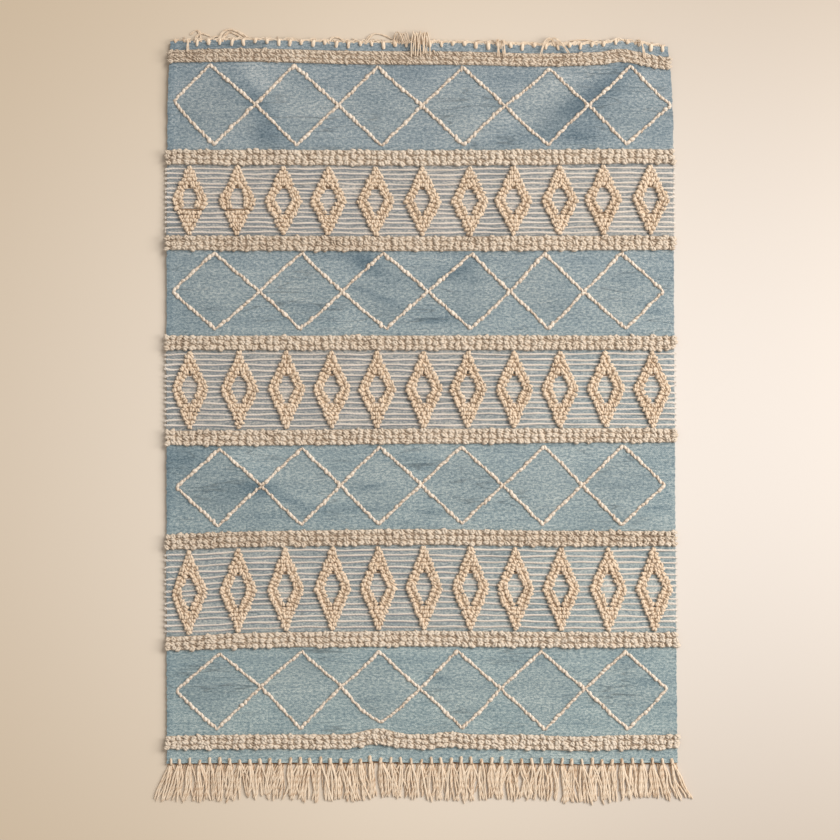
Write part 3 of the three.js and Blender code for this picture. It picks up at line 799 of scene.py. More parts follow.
def pile_nubs(name, across, along, turn, nub, reach, fat, tall):
    """Nubs of pile, each a few short loops of loose yarn, mirrored one way or the other."""
    count, loops = len(across), len(nub)
    aside, up, slope = np.array(nub, float).T
    size = rng.uniform(0.88, 1.1, (count, 1))
    hand, foot = rng.choice((-1, 1), (2, count, 1))
    a = aside * hand * size + rng.normal(0, 0.5, (count, loops))
    b = up * foot * size + rng.normal(0, 0.5, (count, loops))
    cos, sin = np.cos(turn)[:, None], np.sin(turn)[:, None]
    middles = across[:, None] + a * cos - b * sin, along[:, None] + a * sin + b * cos
    heading = np.radians(slope) * hand * foot + turn[:, None]
    heading = heading + rng.normal(0, math.radians(17), (count, loops))
    tone = rng.uniform(0.1, 0.9, (count, 1)) + pile_tone(across, along)[:, None]
    tone = tone + rng.uniform(-0.2, 0.2, (count, loops))
    rings = 5
    arch = np.linspace(0.06, 0.94, rings) * math.pi
    long = (reach * size * rng.uniform(0.85, 1.15, (count, loops))).reshape(-1, 1)
    rise = tall * rng.uniform(0.72, 1.12, (count, loops)).reshape(-1, 1)
    thick = (fat * size * rng.uniform(0.86, 1.12, (count, loops))).reshape(-1, 1)
    run = -np.cos(arch) * long
    cos, sin = np.cos(heading).reshape(-1, 1), np.sin(heading).reshape(-1, 1)
    x, y = (value.reshape(-1, 1) for value in middles)
    centres = laid(x + run * cos, y + run * sin, CLOTH_THICK + 0.6 + rise * np.sin(arch) ** 0.7)
    sideways = np.stack([sin, -cos, np.zeros_like(cos)], -1)
    thick = (0.62 + 0.38 * np.sin(arch)) * thick
    return lay_yarns(name, centres, thick, thick * 0.9, tone.ravel(), sides=5, aside=sideways)


def cushions(name, left, right, along, rings, tone, high=1.6, breadth=4.8):
    """Low rolls of yarn, the feet of the nubs seen between them, or dark rolls; a low tone paints shade on
    them.
    """
    left, right, along = (np.asarray(value, float)[:, None] for value in (left, right, along))
    share = np.linspace(0, 1, rings)[None]
    a = left + (right - left) * share
    centres = laid(a, along + 0 * a, CLOTH_THICK + high)
    broad = breadth * np.sin(np.clip(share, 0.02, 0.98) * math.pi) ** 0.12
    return lay_yarns(name, centres, broad, 2.6, np.full(len(left), tone))


def band_pile(name, middle, breadth, nubs, rows):
    """A band's three rows of nubs, with rolls of yarn under the rows and darker ones between them as painted
    shade.
    """
    uneven, low_tone, crevice_shade_tone = rows
    side = HALF_WIDTH + PAST_EDGE
    pitch = 2 * side / KNOTS_IN_ROW
    row, cell = (value.ravel() for value in np.meshgrid((-1, 0, 1), np.arange(KNOTS_IN_ROW), indexing="ij"))
    across = (cell + 0.5) * pitch - side + rng.uniform(-2.5, 2.5, len(cell))
    along = middle + row * breadth * KNOT_SHARE + rng.uniform(-2.3, 2.3, len(cell)) * uneven
    turn = rng.normal(0, math.radians(16), len(cell))
    end = side - ROLL_INSET
    feet = middle + np.array([-1, 0, 1]) * breadth * ROLL_SHARE
    low = cushions(f"{name}_feet", [-end] * 3, [end] * 3, feet, ROLL_RINGS, low_tone)
    gaps = middle + np.array([-1, 1]) * breadth * BETWEEN_SHARE
    raised = cushions(
        f"{name}_between", [-end] * 2, [end] * 2, gaps, ROLL_RINGS, crevice_shade_tone, high=2.2, breadth=4.2
    )
    knots = pile_nubs(f"{name}_nubs", across, along, turn, *nubs)
    return join_pieces(name, [knots, low, raised])


def diamond_levels(half, slit):
    """The heights of a diamond's lines of nubs, parted at its slit."""
    ends = [(-1.0, SLIT - 0.03), (SLIT + 0.03, 1.0)] if slit else [(-1.0, 1.0)]
    levels = []
    for low, high in ends:
        lines = round((high - low) * half / LINE_PITCH)
        levels += [low + (high - low) * (k + 0.5) / lines for k in range(lines)]
    return levels


def diamond_pile(name, row):
    """Open diamonds of nubs, in two lines along each wall, filled at the foot and the top."""
    _, _, half_width, slit_diamonds, _ = row
    middle, half = diamond_height(row)
    spots, spans, shade_spans = [], [], []
    for place in range(DIAMONDS_IN_ROW):
        centre = diamond_across(row, place)
        slit = place < slit_diamonds
        opening = SLIT_OPENING if slit else OPENING
        for level in diamond_levels(half, slit):
            outer = np.interp(level, *zip(*DIAMOND_OUTER)) * half_width
            inner = np.interp(level, *zip(*opening)) * half_width
            at = middle + level * half
            if inner < FILLED_UNDER:
                number = max(1, round((2 * outer - 2) / FILLED_PITCH))
                asides = [(k + 0.5) * 2 * outer / number - outer for k in range(number)]
                spots += [(centre + aside, at, rng.uniform(-25, 25)) for aside in asides]
                spans.append((centre - outer + 3, centre + outer - 3, at))
                continue
            wall = [((outer + inner) / 2, 0)]
            if outer - inner > TWO_NUBS_OVER:
                wall = [(outer - OUTER_INSET, -WALL_STAGGER / 2), (inner + INNER_INSET, WALL_STAGGER / 2)]
            for side in (-1, 1):
                spots += [(centre + side * aside, at + rise, side * 12) for aside, rise in wall]
                spans.append((*sorted((centre + side * (inner + 4), centre + side * (outer - 4))), at))
        # Dark rolls as painted shadows: in the slit, in the top corner of the opening and in the foot gaps
        dark = [(SLIT, SLIT_REACH)] if slit else []
        dark.append(TOP_CORNER)
        if slit_diamonds:
            dark += [(level, reach) for which, level, reach in FOOT_GAPS if which == place]
        shade_spans += [(centre - reach, centre + reach, middle + level * half) for level, reach in dark]
    across, along, slope = np.array(spots).T
    across = across + rng.uniform(-1.0, 1.0, len(across))
    along = along + rng.uniform(-1.0, 1.0, len(along))
    turn = np.radians(slope + rng.normal(0, 16, len(slope)))
    parts = [
        pile_nubs(f"{name}_nubs", across, along, turn, *DIAMOND_NUBS),
        cushions(f"{name}_feet", *np.array(spans).T, 4, tone=-0.35, high=2.6),
        cushions(f"{name}_shade_rolls", *np.array(shade_spans).T, 6, tone=-2.2, high=1.0, breadth=2.6),
    ]
    return join_pieces(name, parts)


# Wrapped yarn lines


def line_sides(lows, crossings, tops):
    """Start and end of each side of a row's diamonds, as rows of across and along."""
    sides = []
    for k in range(len(lows[1])):
        left, right = (np.array((crossings[1][k + n], crossings[0]), float) for n in (0, 1))
        for along, points in (lows, tops):
            corner = np.array((points[k], along), float)
            sides += [(left, corner), (corner, right)]
    return sides


def line_wraps(name, lows, crossings, tops):
    """Short wraps of cream yarn end to end along each side, thick and thin by turns, over a thin core."""
    spots, core = [], []
    for start, end in line_sides(lows, crossings, tops):
        run = end - start
        long = np.linalg.norm(run)
        number = round(long / WRAP_PITCH)
        bend = rng.uniform(-LINE_BOW, LINE_BOW) * np.array((-run[1], run[0])) / long
        core.append([start + run * t + bend * math.sin(math.pi * t) for t in np.linspace(0, 1, 9)])
        slope = math.atan2(run[1], run[0])
        lump = rng.uniform(0, 2 * math.pi)
        for k in range(number):
            share = (k + 0.5) / number
            spot = start + run * share + bend * math.sin(math.pi * share)
            size = 1.0 + 0.16 * math.sin(lump + k * 1.25) + (0.06 if k % 2 else -0.06)
            spots.append((*spot, slope + math.copysign(math.radians(WRAP_TURN), slope), size))
    across, along, heading, size = np.array(spots).T
    count = len(across)
    heading = heading + rng.normal(0, math.radians(13), count)
    size = size * rng.uniform(0.8, 1.18, count)
    rings = 6
    share = np.linspace(-1, 1, rings)[None]
    run = share * (WRAP_REACH * rng.uniform(0.8, 1.22, count))[:, None]
    off = rng.uniform(-1.2, 1.2, count)[:, None]
    cos, sin = np.cos(heading)[:, None], np.sin(heading)[:, None]
    swell = np.sqrt(1 - 0.93 * np.abs(share) ** 3)
    centres = laid(
        across[:, None] + run * cos - off * sin,
        along[:, None] + run * sin + off * cos,
        CLOTH_THICK + 0.1 + WRAP_RISE * swell * size[:, None],
    )
    broad = WRAP_BREADTH * swell * size[:, None]
    tone = np.clip(rng.uniform(0, 1, count) + (size - 1) * 1.2, -0.3, 1.3)
    wraps = lay_yarns(f"{name}_wraps", centres, broad, broad * 0.62, tone)
    core = np.array(core)
    centres = laid(core[..., 0], core[..., 1], CLOTH_THICK + 0.6)
    cores = lay_yarns(f"{name}_cores", centres, 2.0, 1.4, np.full(len(core), -0.4))
    return join_pieces(name, [wraps, cores])


# Fringes


def tassel_middles(tassels):
    """Where the tassels of a hem stand."""
    return (np.arange(tassels) + 0.5) * (CLOTH_WIDTH / tassels) - HALF_WIDTH


def lean_at(across):
    """How far to the right the bottom tassels lean at their tips."""
    lean = 3 * np.sin(across / 61) * np.cos(across / 23) + EDGE_LEAN * (across / HALF_WIDTH) ** 9
    for place, wide in PARTINGS:
        off = across - place
        lean = lean + np.sign(off) * wide * np.exp(-np.abs(off) / PARTING_REACH)
    return lean


def bottom_tassels(name):
    """Strands that fan out of the bottom hem's tassels and lie down on the floor."""
    rings = 17
    middle = tassel_middles(BOTTOM_TASSELS) + rng.uniform(-0.8, 0.8, BOTTOM_TASSELS)
    middle = np.repeat(middle, STRANDS)
    lock = np.tile(np.arange(STRANDS) - (STRANDS - 1) / 2, BOTTOM_TASSELS)
    count = len(middle)
    long = STRAND_LENGTH + 4 * np.sin(middle / 47) + rng.normal(0, 3.5, count)
    short, shortened = SHORT_STRANDS
    long = np.where(rng.random(count) < short, long * shortened, long)
    share = np.linspace(0, 1, rings)[None]
    start = 1.5
    run = -start + share * (long[:, None] + start)
    lying = np.clip(run / long[:, None], 0, 1)
    fan = lock[:, None] * (1.1 + 2.2 * smoothstep(lying, 0.02, 0.42) + 0.5 * lying)
    strays, reach = STRAY_STRANDS
    far = np.where(rng.random(count) < strays, rng.uniform(-reach, reach, count), rng.normal(0, 6, count))
    bunch = np.repeat(rng.normal(0, 8.0, BOTTOM_TASSELS), STRANDS)
    tip_lean = lean_at(middle)
    stray = np.clip(middle + tip_lean + far + bunch, *TIPS_WITHIN) - middle - tip_lean
    curl = rng.uniform(0, 2 * math.pi, (count, 1))
    swing = 1.4 + 2.2 * rng.random((count, 1))
    wave = swing * np.sin(lying * rng.uniform(3, 9, (count, 1)) + curl) * lying**0.6
    aside = stray[:, None] * lying**1.15 + tip_lean[:, None] * lying**1.3
    root = laid(middle, np.zeros(count), 0)
    x = root[:, None, 0] * 1000 + fan + aside + wave
    y = root[:, None, 1] * 1000 - run
    layer = rng.uniform(0.0, 4.6, (count, 1))
    high = 2.4 + layer * smoothstep(lying, 0.0, 0.22) * (1 - 0.85 * lying)
    centres = np.stack([x, y, high], -1) / 1000
    thin = rng.uniform(1.9, 2.8, count)[:, None]
    broad = thin * (1 - 0.6 * smoothstep(share, 0.93, 1.0)) * (1 + 0.1 * np.sin(share * 40 + curl))
    # Painted shade on the strands where they come out from under the hem
    tone = rng.uniform(0, 1, (count, 1)) - 0.9 * smoothstep(-lying, -0.16, 0.0)
    return lay_yarns(name, centres, broad, broad * 0.85, tone)


def under_strands(name):
    """Strands that lie lowest, from under the hem between the tassels, darker as painted shade under the
    others.
    """
    count, rings = UNDER_STRANDS, 9
    across = np.linspace(-594, 594, count) + rng.uniform(-3, 3, count)
    share = np.linspace(0, 1, rings)[None]
    start = 3
    run = share * (rng.uniform(*UNDER_LENGTHS, (count, 1)) + start) - start
    lean = lean_at(across)[:, None] * share**1.3 + rng.normal(0, 6, (count, 1)) * share
    root = laid(across, np.zeros(count), 0)
    wave = rng.uniform(0.5, 2, (count, 1)) * np.sin(share * 7 + 9 * across[:, None])
    x = root[:, None, 0] * 1000 + lean + wave
    y = root[:, None, 1] * 1000 - run
    centres = np.stack([x, y, np.full_like(x, 1.5)], -1) / 1000
    broad = rng.uniform(1.6, 2.3, (count, 1)) * (1 - 0.5 * share**6)
    # Painted shade: darker throughout, and darkest under the hem
    tone = -0.35 + 0.25 * share - 0.8 * smoothstep(-share, -0.3, 0.0)
    return lay_yarns(name, centres, broad, 1.3, tone + np.zeros((count, 1)), sides=5)


def hem_shadow_line(name):
    """A dark yarn as the painted shadow under the bottom hem between the tassels."""
    rings, inset = 61, 8
    across = np.linspace(inset - HALF_WIDTH, HALF_WIDTH - inset, rings)[None]
    centres = laid(across, np.zeros((1, rings)), 0)
    centres[..., 1] -= 0.0016
    centres[..., 2] = 0.0022
    return lay_yarns(name, centres, 1.9, 1.6, [0.3])


def knot_ticks(name, tassels, hem, outward, deep, past, breadth, tones, first=-HALF_WIDTH):
    """The wrap of each tassel where it comes through the hem and over its edge."""
    middle = tassel_middles(tassels)
    middle = middle[middle > first]
    count = len(middle)
    middle = middle + rng.uniform(-1.2, 1.2, count)
    share = np.linspace(0, 1, 8)[None]
    deep = rng.uniform(*deep, (count, 1))
    out = -deep + share * (deep + past)
    lean = rng.uniform(-3.2, 3.2, (count, 1)) * (share - 0.5)
    arch = np.sin(np.clip(share * 0.94 + 0.06, 0, 1) * math.pi) ** 0.4
    high = CLOTH_THICK - 0.9 + 2.9 * arch - 3.0 * smoothstep(share, 0.7, 1.0)
    centres = laid(middle[:, None] + lean, np.full_like(out, hem), high)
    centres[:, :, 1] += outward * out / 1000
    broad = breadth * rng.uniform(0.75, 1.12, (count, 1)) * (0.5 + 0.5 * arch)
    return lay_yarns(name, centres, broad, broad * 0.8, rng.uniform(*tones, count))


def smooth_way(points):
    """A soft way through given points, in even steps."""
    points = np.asarray(points, float)
    knots = np.linspace(0, 1, len(points))
    fine = np.linspace(0, 1, WAY_RINGS)
    way = np.stack([np.interp(fine, knots, points[:, k]) for k in range(3)], -1)
    for _ in range(3):
        way[1:-1] = (way[:-2] + 2 * way[1:-1] + way[2:]) / 4
    return way


def tucked_strands(name):
    """The top tassels fold over the hem's edge and lie under the cloth."""
    strands, lowest = 4, 1.45
    ways = []
    for middle in tassel_middles(TOP_TASSELS):
        middle = middle + rng.uniform(-1.5, 1.5)
        for lock in range(strands):
            aside = (lock - (strands - 1) / 2) * rng.uniform(3.5, 5.0)
            x, y, z = laid(middle + aside, CLOTH_LENGTH, 0) * 1000
            out = rng.uniform(3.0, 6.5)
            fan = aside * 0.4 + rng.uniform(-3, 3)
            end = rng.uniform(72, 84)
            points = [
                (x - aside * 0.6, y - 4.0, z + CLOTH_THICK - 1.6),
                (x - aside * 0.4, y - 0.5, z + CLOTH_THICK + 0.6),
                (x - aside * 0.1, y + out * 0.7, z + CLOTH_THICK + 0.4),
                (x, y + out, z + 1.4),
                (x, y + out * 0.7, 1.6),
                (x + fan * 0.2, y - 8, lowest),
                (x + fan * 0.5, y - end * 0.5, lowest),
                (x + fan, y - end, lowest),
            ]
            ways.append(smooth_way(points))
    thick = 1.4
    return lay_yarns(name, np.array(ways) / 1000, thick, thick * 0.9, rng.uniform(0, 1, len(ways)), sides=5)


def edge_fuzz(name):
    """Loose fibres that run along the top hem between the folded tassels."""
    start = np.concatenate([np.arange(*stretch) for stretch in FUZZ_STARTS])
    start = start + rng.uniform(-5, 5, len(start))
    count = len(start)
    share = np.linspace(0, 1, 8)[None]
    across = start[:, None] + share * rng.uniform(14, 34, (count, 1))
    out = -1.5 + np.sin(share * math.pi) * rng.uniform(1.5, 9.0, (count, 1)) + rng.uniform(-1, 1, (count, 1))
    high = rng.uniform(1.5, 3.2, (count, 1))
    centres = laid(np.clip(across, 1 - HALF_WIDTH, HALF_WIDTH - 1), np.full_like(across, CLOTH_LENGTH), high)
    centres[:, :, 1] += out / 1000
    broad = rng.uniform(0.9, 1.7, (count, 1))
    return lay_yarns(name, centres, broad, broad * 0.8, rng.uniform(0.8, 1.5, count), sides=5)


def loose_way(start, out, end, over):
    """A lock that leaves the top hem and falls back over the cloth, or lies on the floor outside it."""
    root = laid(start, CLOTH_LENGTH - 4, CLOTH_THICK) * 1000
    turn = laid(start + (end - start) * 0.35, CLOTH_LENGTH, 0) * 1000
    finish = laid(end, CLOTH_LENGTH - over, 0) * 1000
    x0, x1, x2 = root[0], turn[0], finish[0]
    if over > 0:
        points = [
            (x0, root[1], root[2]),
            (x0 + (x1 - x0) * 0.4, turn[1] + out * 0.6, root[2] + 1.5),
            (x1, turn[1] + out, root[2] + 3.5),
            (x1 + (x2 - x1) * 0.4, turn[1] + out * 0.5, root[2] + 8),
            (x1 + (x2 - x1) * 0.7, turn[1] - over * 0.2, finish[2] + CLOTH_THICK + 10.5),
            (x2, finish[1], finish[2] + CLOTH_THICK + 10.0),
        ]
    else:
        points = [
            (x0, root[1], root[2]),
            (x0 + (x1 - x0) * 0.4, turn[1] + out * 0.7, 1.9),
            (x1, turn[1] + out, 1.5),
            (x1 + (x2 - x1) * 0.6, turn[1] + out * 0.6 - over * 0.4, 1.5),
            (x2, finish[1], 1.5),
        ]
    return smooth_way(points)


def loose_strands(name):
    """The loose locks of three strands, the flopped tassel, the strands that lean beside it, and strays."""
    ways, thin = [], []
    for start, out, end, over in LOOSE_LOCKS:
        for lock in (-1.7, 0.0, 1.7):
            away = rng.uniform(-0.8, 0.8, 4)
            root, tip = start + lock + away[0], end + lock + away[2]
            ways.append(loose_way(root, out + away[1] - 1, tip, over + away[3]))
            thin.append(rng.uniform(1.1, 1.8))
    count, start, step, end, end_step, out, over = FLOPPED
    for k in range(count):
        tip = end + k * end_step + rng.uniform(-2.5, 2.5)
        ways.append(loose_way(start + k * step, out + rng.uniform(-5, 2), tip, over + rng.uniform(-6, 6)))
        thin.append(rng.uniform(1.5, 2.4))
    count, start, step, end, end_step, out, over = LEANING
    for k in range(count):
        tip = end + k * end_step
        ways.append(loose_way(start + k * step, out + rng.uniform(-3, 2), tip, over + rng.uniform(-2, 3)))
        thin.append(rng.uniform(1.3, 1.9))
    *stretch, left_out = STRAYS
    for start in np.linspace(*stretch):
        if rng.random() < left_out:
            continue
        tip = start + rng.uniform(-22, 22)
        ways.append(loose_way(start, rng.uniform(6, 12), tip, -rng.uniform(2, 6)))
        thin.append(rng.uniform(0.5, 0.85))
    centres = np.array(ways) / 1000
    wave = np.sin(np.linspace(0, 11, WAY_RINGS)[None] + rng.uniform(0, 6, (len(ways), 1))) * 0.0011
    centres[:, 2:, 0] += wave[:, 2:]
    broad = np.array(thin)[:, None] * np.linspace(1, 0.75, WAY_RINGS)[None]
    return lay_yarns(name, centres, broad, broad * 0.85, rng.uniform(0.2, 1, len(ways)))


# Materials


def add(tree, kind, inputs=None, **settings):
    """A node with its settings, and its inputs linked or set."""
    made = tree.nodes.new(kind)
    for name, value in settings.items():
        setattr(made, name, value)
    for socket, value in (inputs or {}).items():
        if isinstance(value, bpy.types.NodeSocket):
            tree.links.new(value, made.inputs[socket])
        else:
            made.inputs[socket].default_value = value
    return made


def reckon(tree, operation, *values, clamp=False):
    made = add(tree, "ShaderNodeMath", dict(enumerate(values)), operation=operation, use_clamp=clamp)
    return made.outputs[0]


def mixed(tree, factor, low, high, blend="MIX"):
    made = add(tree, "ShaderNodeMix", {0: factor, 6: low, 7: high}, data_type="RGBA", blend_type=blend)
    return made.outputs[2]


def ranged(tree, value, low, high, to_low=0.0, to_high=1.0):
    spans = {"From Min": low, "From Max": high, "To Min": to_low, "To Max": to_high}
    return add(tree, "ShaderNodeMapRange", {"Value": value, **spans}).outputs["Result"]


def read(tree, attribute, output="Fac"):
    """What the piece's points say under a name."""
    return add(tree, "ShaderNodeAttribute", attribute_name=attribute).outputs[output]


def object_place(tree):
    return add(tree, "ShaderNodeTexCoord").outputs["Object"]


def woven_place(tree):
    """The cloth's own coordinates, and their parts across and along."""
    woven = add(tree, "ShaderNodeUVMap", uv_map="woven").outputs[0]
    return woven, *add(tree, "ShaderNodeSeparateXYZ", {0: woven}).outputs[:2]


def noise(tree, vector, scale, stretch=(1, 1, 1), detail=2.0, rough=0.5):
    """Noise on the given coordinates, in features per metre along each of them."""
    placed = add(tree, "ShaderNodeMapping", {"Vector": vector, "Scale": [s * scale for s in stretch]})
    inputs = {"Vector": placed.outputs[0], "Scale": 1.0, "Detail": detail, "Roughness": rough}
    return add(tree, "ShaderNodeTexNoise", inputs).outputs["Fac"]


def effect(name, inputs, outputs):
    """An empty node group with named sockets."""
    group = bpy.data.node_groups.new(name, "ShaderNodeTree")
    for socket, default in inputs.items():
        made = group.interface.new_socket(socket, in_out="INPUT", socket_type="NodeSocketFloat")
        made.default_value = default
    for socket in outputs:
        group.interface.new_socket(socket, in_out="OUTPUT", socket_type="NodeSocketFloat")
    entry = group.nodes.new("NodeGroupInput")
    leave = group.nodes.new("NodeGroupOutput")
    return group, entry, leave


def spun_yarn_effect():
    """Plied yarn: Ridge is 1 on top of a ply and 0 in the groove, Fibre is fine and uneven."""
    group, entry, leave = effect("spun_yarn", {"Pitch": 0.012, "Plies": 2.0}, ("Ridge", "Fibre"))
    parts = add(group, "ShaderNodeSeparateXYZ", {0: read(group, "spun", "Vector")})
    angle = reckon(group, "ARCTAN2", parts.outputs[2], parts.outputs[1])
    turned = reckon(group, "MULTIPLY", angle, entry.outputs["Plies"])
    along = reckon(group, "DIVIDE", parts.outputs[0], entry.outputs["Pitch"])
    phase = reckon(group, "MULTIPLY", along, 2 * math.pi)
    place = object_place(group)
    wobble = ranged(group, noise(group, place, 140), 0.3, 0.7, -0.7, 0.7)
    wave = reckon(group, "SINE", reckon(group, "ADD", reckon(group, "ADD", turned, phase), wobble))
    ridge = ranged(group, wave, -1, 1)
    group.links.new(reckon(group, "POWER", ridge, 0.6), leave.inputs["Ridge"])
    fibre = noise(group, place, 900, detail=3.0, rough=0.6)
    group.links.new(ranged(group, fibre, 0.3, 0.7), leave.inputs["Fibre"])
    return group


def flat_weave_effect():
    """A weft-faced plain weave on the cloth's own coordinates: Height of the yarns, Gap between them."""
    pitches = {"Warp Pitch": 0.0042, "Weft Pitch": 0.0021}
    group, entry, leave = effect("flat_weave", pitches, ("Height", "Gap"))
    woven, across, along = woven_place(group)
    slub = ranged(group, noise(group, woven, 1, (30, 260, 1)), 0.3, 0.7, -0.35, 0.35)
    weft = reckon(group, "ADD", reckon(group, "DIVIDE", along, entry.outputs["Weft Pitch"]), slub)
    shift = reckon(group, "MULTIPLY", reckon(group, "FLOOR", weft), 0.5)
    warp = reckon(group, "ADD", reckon(group, "DIVIDE", across, entry.outputs["Warp Pitch"]), shift)
    arches = []
    for thread in (warp, weft):
        half_turn = reckon(group, "MULTIPLY", reckon(group, "FRACT", thread), math.pi)
        arches.append(reckon(group, "SINE", half_turn))
    height = reckon(group, "POWER", reckon(group, "MULTIPLY", *arches), 0.5)
    group.links.new(height, leave.inputs["Height"])
    group.links.new(ranged(group, height, 0.0, 0.45, 1.0, 0.0), leave.inputs["Gap"])
    return group


def finish_of(name, roughness, sheen):
    """A plain woollen surface, to be given its colour and relief."""
    material = bpy.data.materials.new(name)
    material.use_nodes = True
    tree = material.node_tree
    shader = tree.nodes["Principled BSDF"]
    shader.inputs["Roughness"].default_value = roughness
    shader.inputs["Sheen Weight"].default_value = sheen
    shader.inputs["Sheen Roughness"].default_value = 0.5
    shader.inputs["Specular IOR Level"].default_value = 0.2
    return material, tree, shader


def group_in(tree, group, **values):
    made = add(tree, "ShaderNodeGroup", node_tree=group)
    for socket, value in values.items():
        made.inputs[socket].default_value = value
    return made


def raise_surface(tree, shader, height, depth):
    bump = add(tree, "ShaderNodeBump", {"Height": height, "Strength": 1.0, "Distance": depth})
    tree.links.new(bump.outputs[0], shader.inputs["Normal"])


def linear(red, green, blue):
    """An 8-bit screen colour as linear light."""
    parts = [c / 255 for c in (red, green, blue)]
    return [*(p / 12.92 if p <= 0.04045 else ((p + 0.055) / 1.055) ** 2.4 for p in parts), 1.0]


# Yarns: groove, body and tip as screen colours, the groove a painted shade and the tip a painted highlight,
# length of a turn in metres, plies, depth of the grooves
YARNS = {
    "pile_cream": ((145, 125, 106), (209, 191, 170), (214, 200, 183), 0.011, 3.0, 0.0009),
    "pile_tan": ((150, 125, 101), (219, 195, 168), (226, 206, 183), 0.011, 3.0, 0.0009),
    "line_cream": ((160, 138, 116), (215, 197, 178), (232, 219, 203), 0.011, 2.0, 0.0009),
    "stripe_cream": ((176, 167, 158), (208, 197, 185), (222, 212, 201), 0.007, 2.0, 0.0005),
    "stripe_dark": ((92, 99, 110), (120, 127, 135), (142, 148, 154), 0.007, 2.0, 0.0005),
    "hem_shadow_brown": ((84, 58, 38), (106, 76, 52), (140, 106, 78), 0.012, 2.0, 0.0004),
    "fringe_cream": ((163, 129, 99), (217, 194, 168), (229, 211, 189), 0.015, 2.0, 0.0004),
}

# Screen colours of the cloth at the bottom hem and the top, in the line diamonds and fields, and of the
# painted shade in its creases
CLOTH_TEAL = (149, 165, 167)
CLOTH_BLUE = (143, 155, 161)
CLOTH_GREY = (136, 147, 149)
CLOTH_FIELD = (159, 157, 153)
CREASE_SHADE = (72, 82, 86)

# Unevenness of its shade: features per metre across and along, detail and roughness of the noise, the
# part of the noise that is used, and the shades at its two ends
CLOTH_GRAINS = [
    (115, 215, 1.0, 0.6, 0.34, 0.66, 0.76, 1.26),
    (260, 340, 1.0, 0.5, 0.34, 0.66, 0.8, 1.18),
    (7, 60, 2.0, 0.5, 0.3, 0.7, 0.92, 1.08),
    (8, 10, 1.0, 0.5, 0.3, 0.7, 0.92, 1.08),
    (34, 330, 1.0, 0.5, 0.66, 0.74, 1.0, 0.72),
]
RAISED_GRAIN = 1

# Painted shade of creases runs where one noise is near its middle, and shows where another is high
CREASE_WIDTH = 0.024
CREASE_PLACES = (0.47, 0.6)
CREASE_DEPTH = 0.5


def yarn_finish(name, groove, body, tip, pitch, plies, depth):
    """Twisted yarn with painted shade in its grooves and a painted highlight on top, each yarn by its own
    tone.
    """
    groove, body, tip = (linear(*colour) for colour in (groove, body, tip))
    material, tree, shader = finish_of(name, 0.95, 0.12)
    spun = group_in(tree, SPUN_YARN, Pitch=pitch, Plies=plies)
    patches = ranged(tree, noise(tree, object_place(tree), 30), 0.3, 0.7, -0.05, 0.25)
    share = reckon(tree, "MULTIPLY", spun.outputs["Ridge"], 0.5)
    share = reckon(tree, "ADD", share, reckon(tree, "MULTIPLY", read(tree, "tone"), 0.3))
    share = reckon(tree, "ADD", share, patches)
    share = reckon(tree, "ADD", share, ranged(tree, spun.outputs["Fibre"], 0, 1, -0.12, 0.12), clamp=True)
    low = mixed(tree, ranged(tree, share, 0.0, 0.4), groove, body)
    tree.links.new(mixed(tree, ranged(tree, share, 0.4, 0.95), low, tip), shader.inputs["Base Color"])
    fibre = reckon(tree, "MULTIPLY", spun.outputs["Fibre"], 0.3)
    raise_surface(tree, shader, reckon(tree, "ADD", spun.outputs["Ridge"], fibre), depth)
    return material


def crease_shading(tree, woven):
    """Painted shade of fine creases, 0 beside them."""
    off = reckon(tree, "SUBTRACT", noise(tree, woven, 1, (5, 42, 1), detail=1.5), 0.5)
    crease = ranged(tree, reckon(tree, "ABSOLUTE", off), 0.0, CREASE_WIDTH, 1.0, 0.0)
    shown = ranged(tree, noise(tree, woven, 1, (5, 9, 1)), *CREASE_PLACES, 0.0, CREASE_DEPTH)
    return reckon(tree, "MULTIPLY", crease, shown)


def cloth_finish():
    """Blue wool in a flat weave, in its blocks and grains, with painted shade in its weave's gaps, folds and
    creases.
    """
    teal, blue, grey, greyed, crease_shade = (
        linear(*colour) for colour in (CLOTH_TEAL, CLOTH_BLUE, CLOTH_GREY, CLOTH_FIELD, CREASE_SHADE)
    )
    material, tree, shader = finish_of("blue_kilim", 0.95, 0.1)
    weave = group_in(tree, FLAT_WEAVE)
    woven, _, along = woven_place(tree)
    base = mixed(tree, ranged(tree, along, 0.1, 1.6), teal, blue)
    base = mixed(tree, read(tree, "inside"), base, mixed(tree, 0.2, base, grey))
    base = mixed(tree, reckon(tree, "MULTIPLY", read(tree, "field"), 0.8), base, greyed)
    shade = read(tree, "shade")
    grains = [noise(tree, woven, 1, (a, b, 1), detail, rough) for a, b, detail, rough, *_ in CLOTH_GRAINS]
    for grain, (*_, low, high, to_low, to_high) in zip(grains, CLOTH_GRAINS):
        shade = reckon(tree, "MULTIPLY", ranged(tree, grain, low, high, to_low, to_high), shade)
    # Painted shade in the gaps between the weave's yarns
    shade = reckon(tree, "MULTIPLY", shade, ranged(tree, weave.outputs["Gap"], 0, 1, 1.04, 0.72))
    # Darker shade is bluer and lighter shade warmer, for the dye and the painted light and shade alike
    red, bluer = reckon(tree, "POWER", shade, 1.25), reckon(tree, "POWER", shade, 0.82)
    tint = add(tree, "ShaderNodeCombineColor", {0: red, 1: shade, 2: bluer}).outputs[0]
    paint = mixed(tree, 1.0, base, tint, blend="MULTIPLY")
    paint = mixed(tree, crease_shading(tree, woven), paint, crease_shade)
    tree.links.new(paint, shader.inputs["Base Color"])
    raised = reckon(tree, "MULTIPLY", grains[RAISED_GRAIN], 0.8)
    raise_surface(tree, shader, reckon(tree, "ADD", weave.outputs["Height"], raised), 0.0007)
    return material


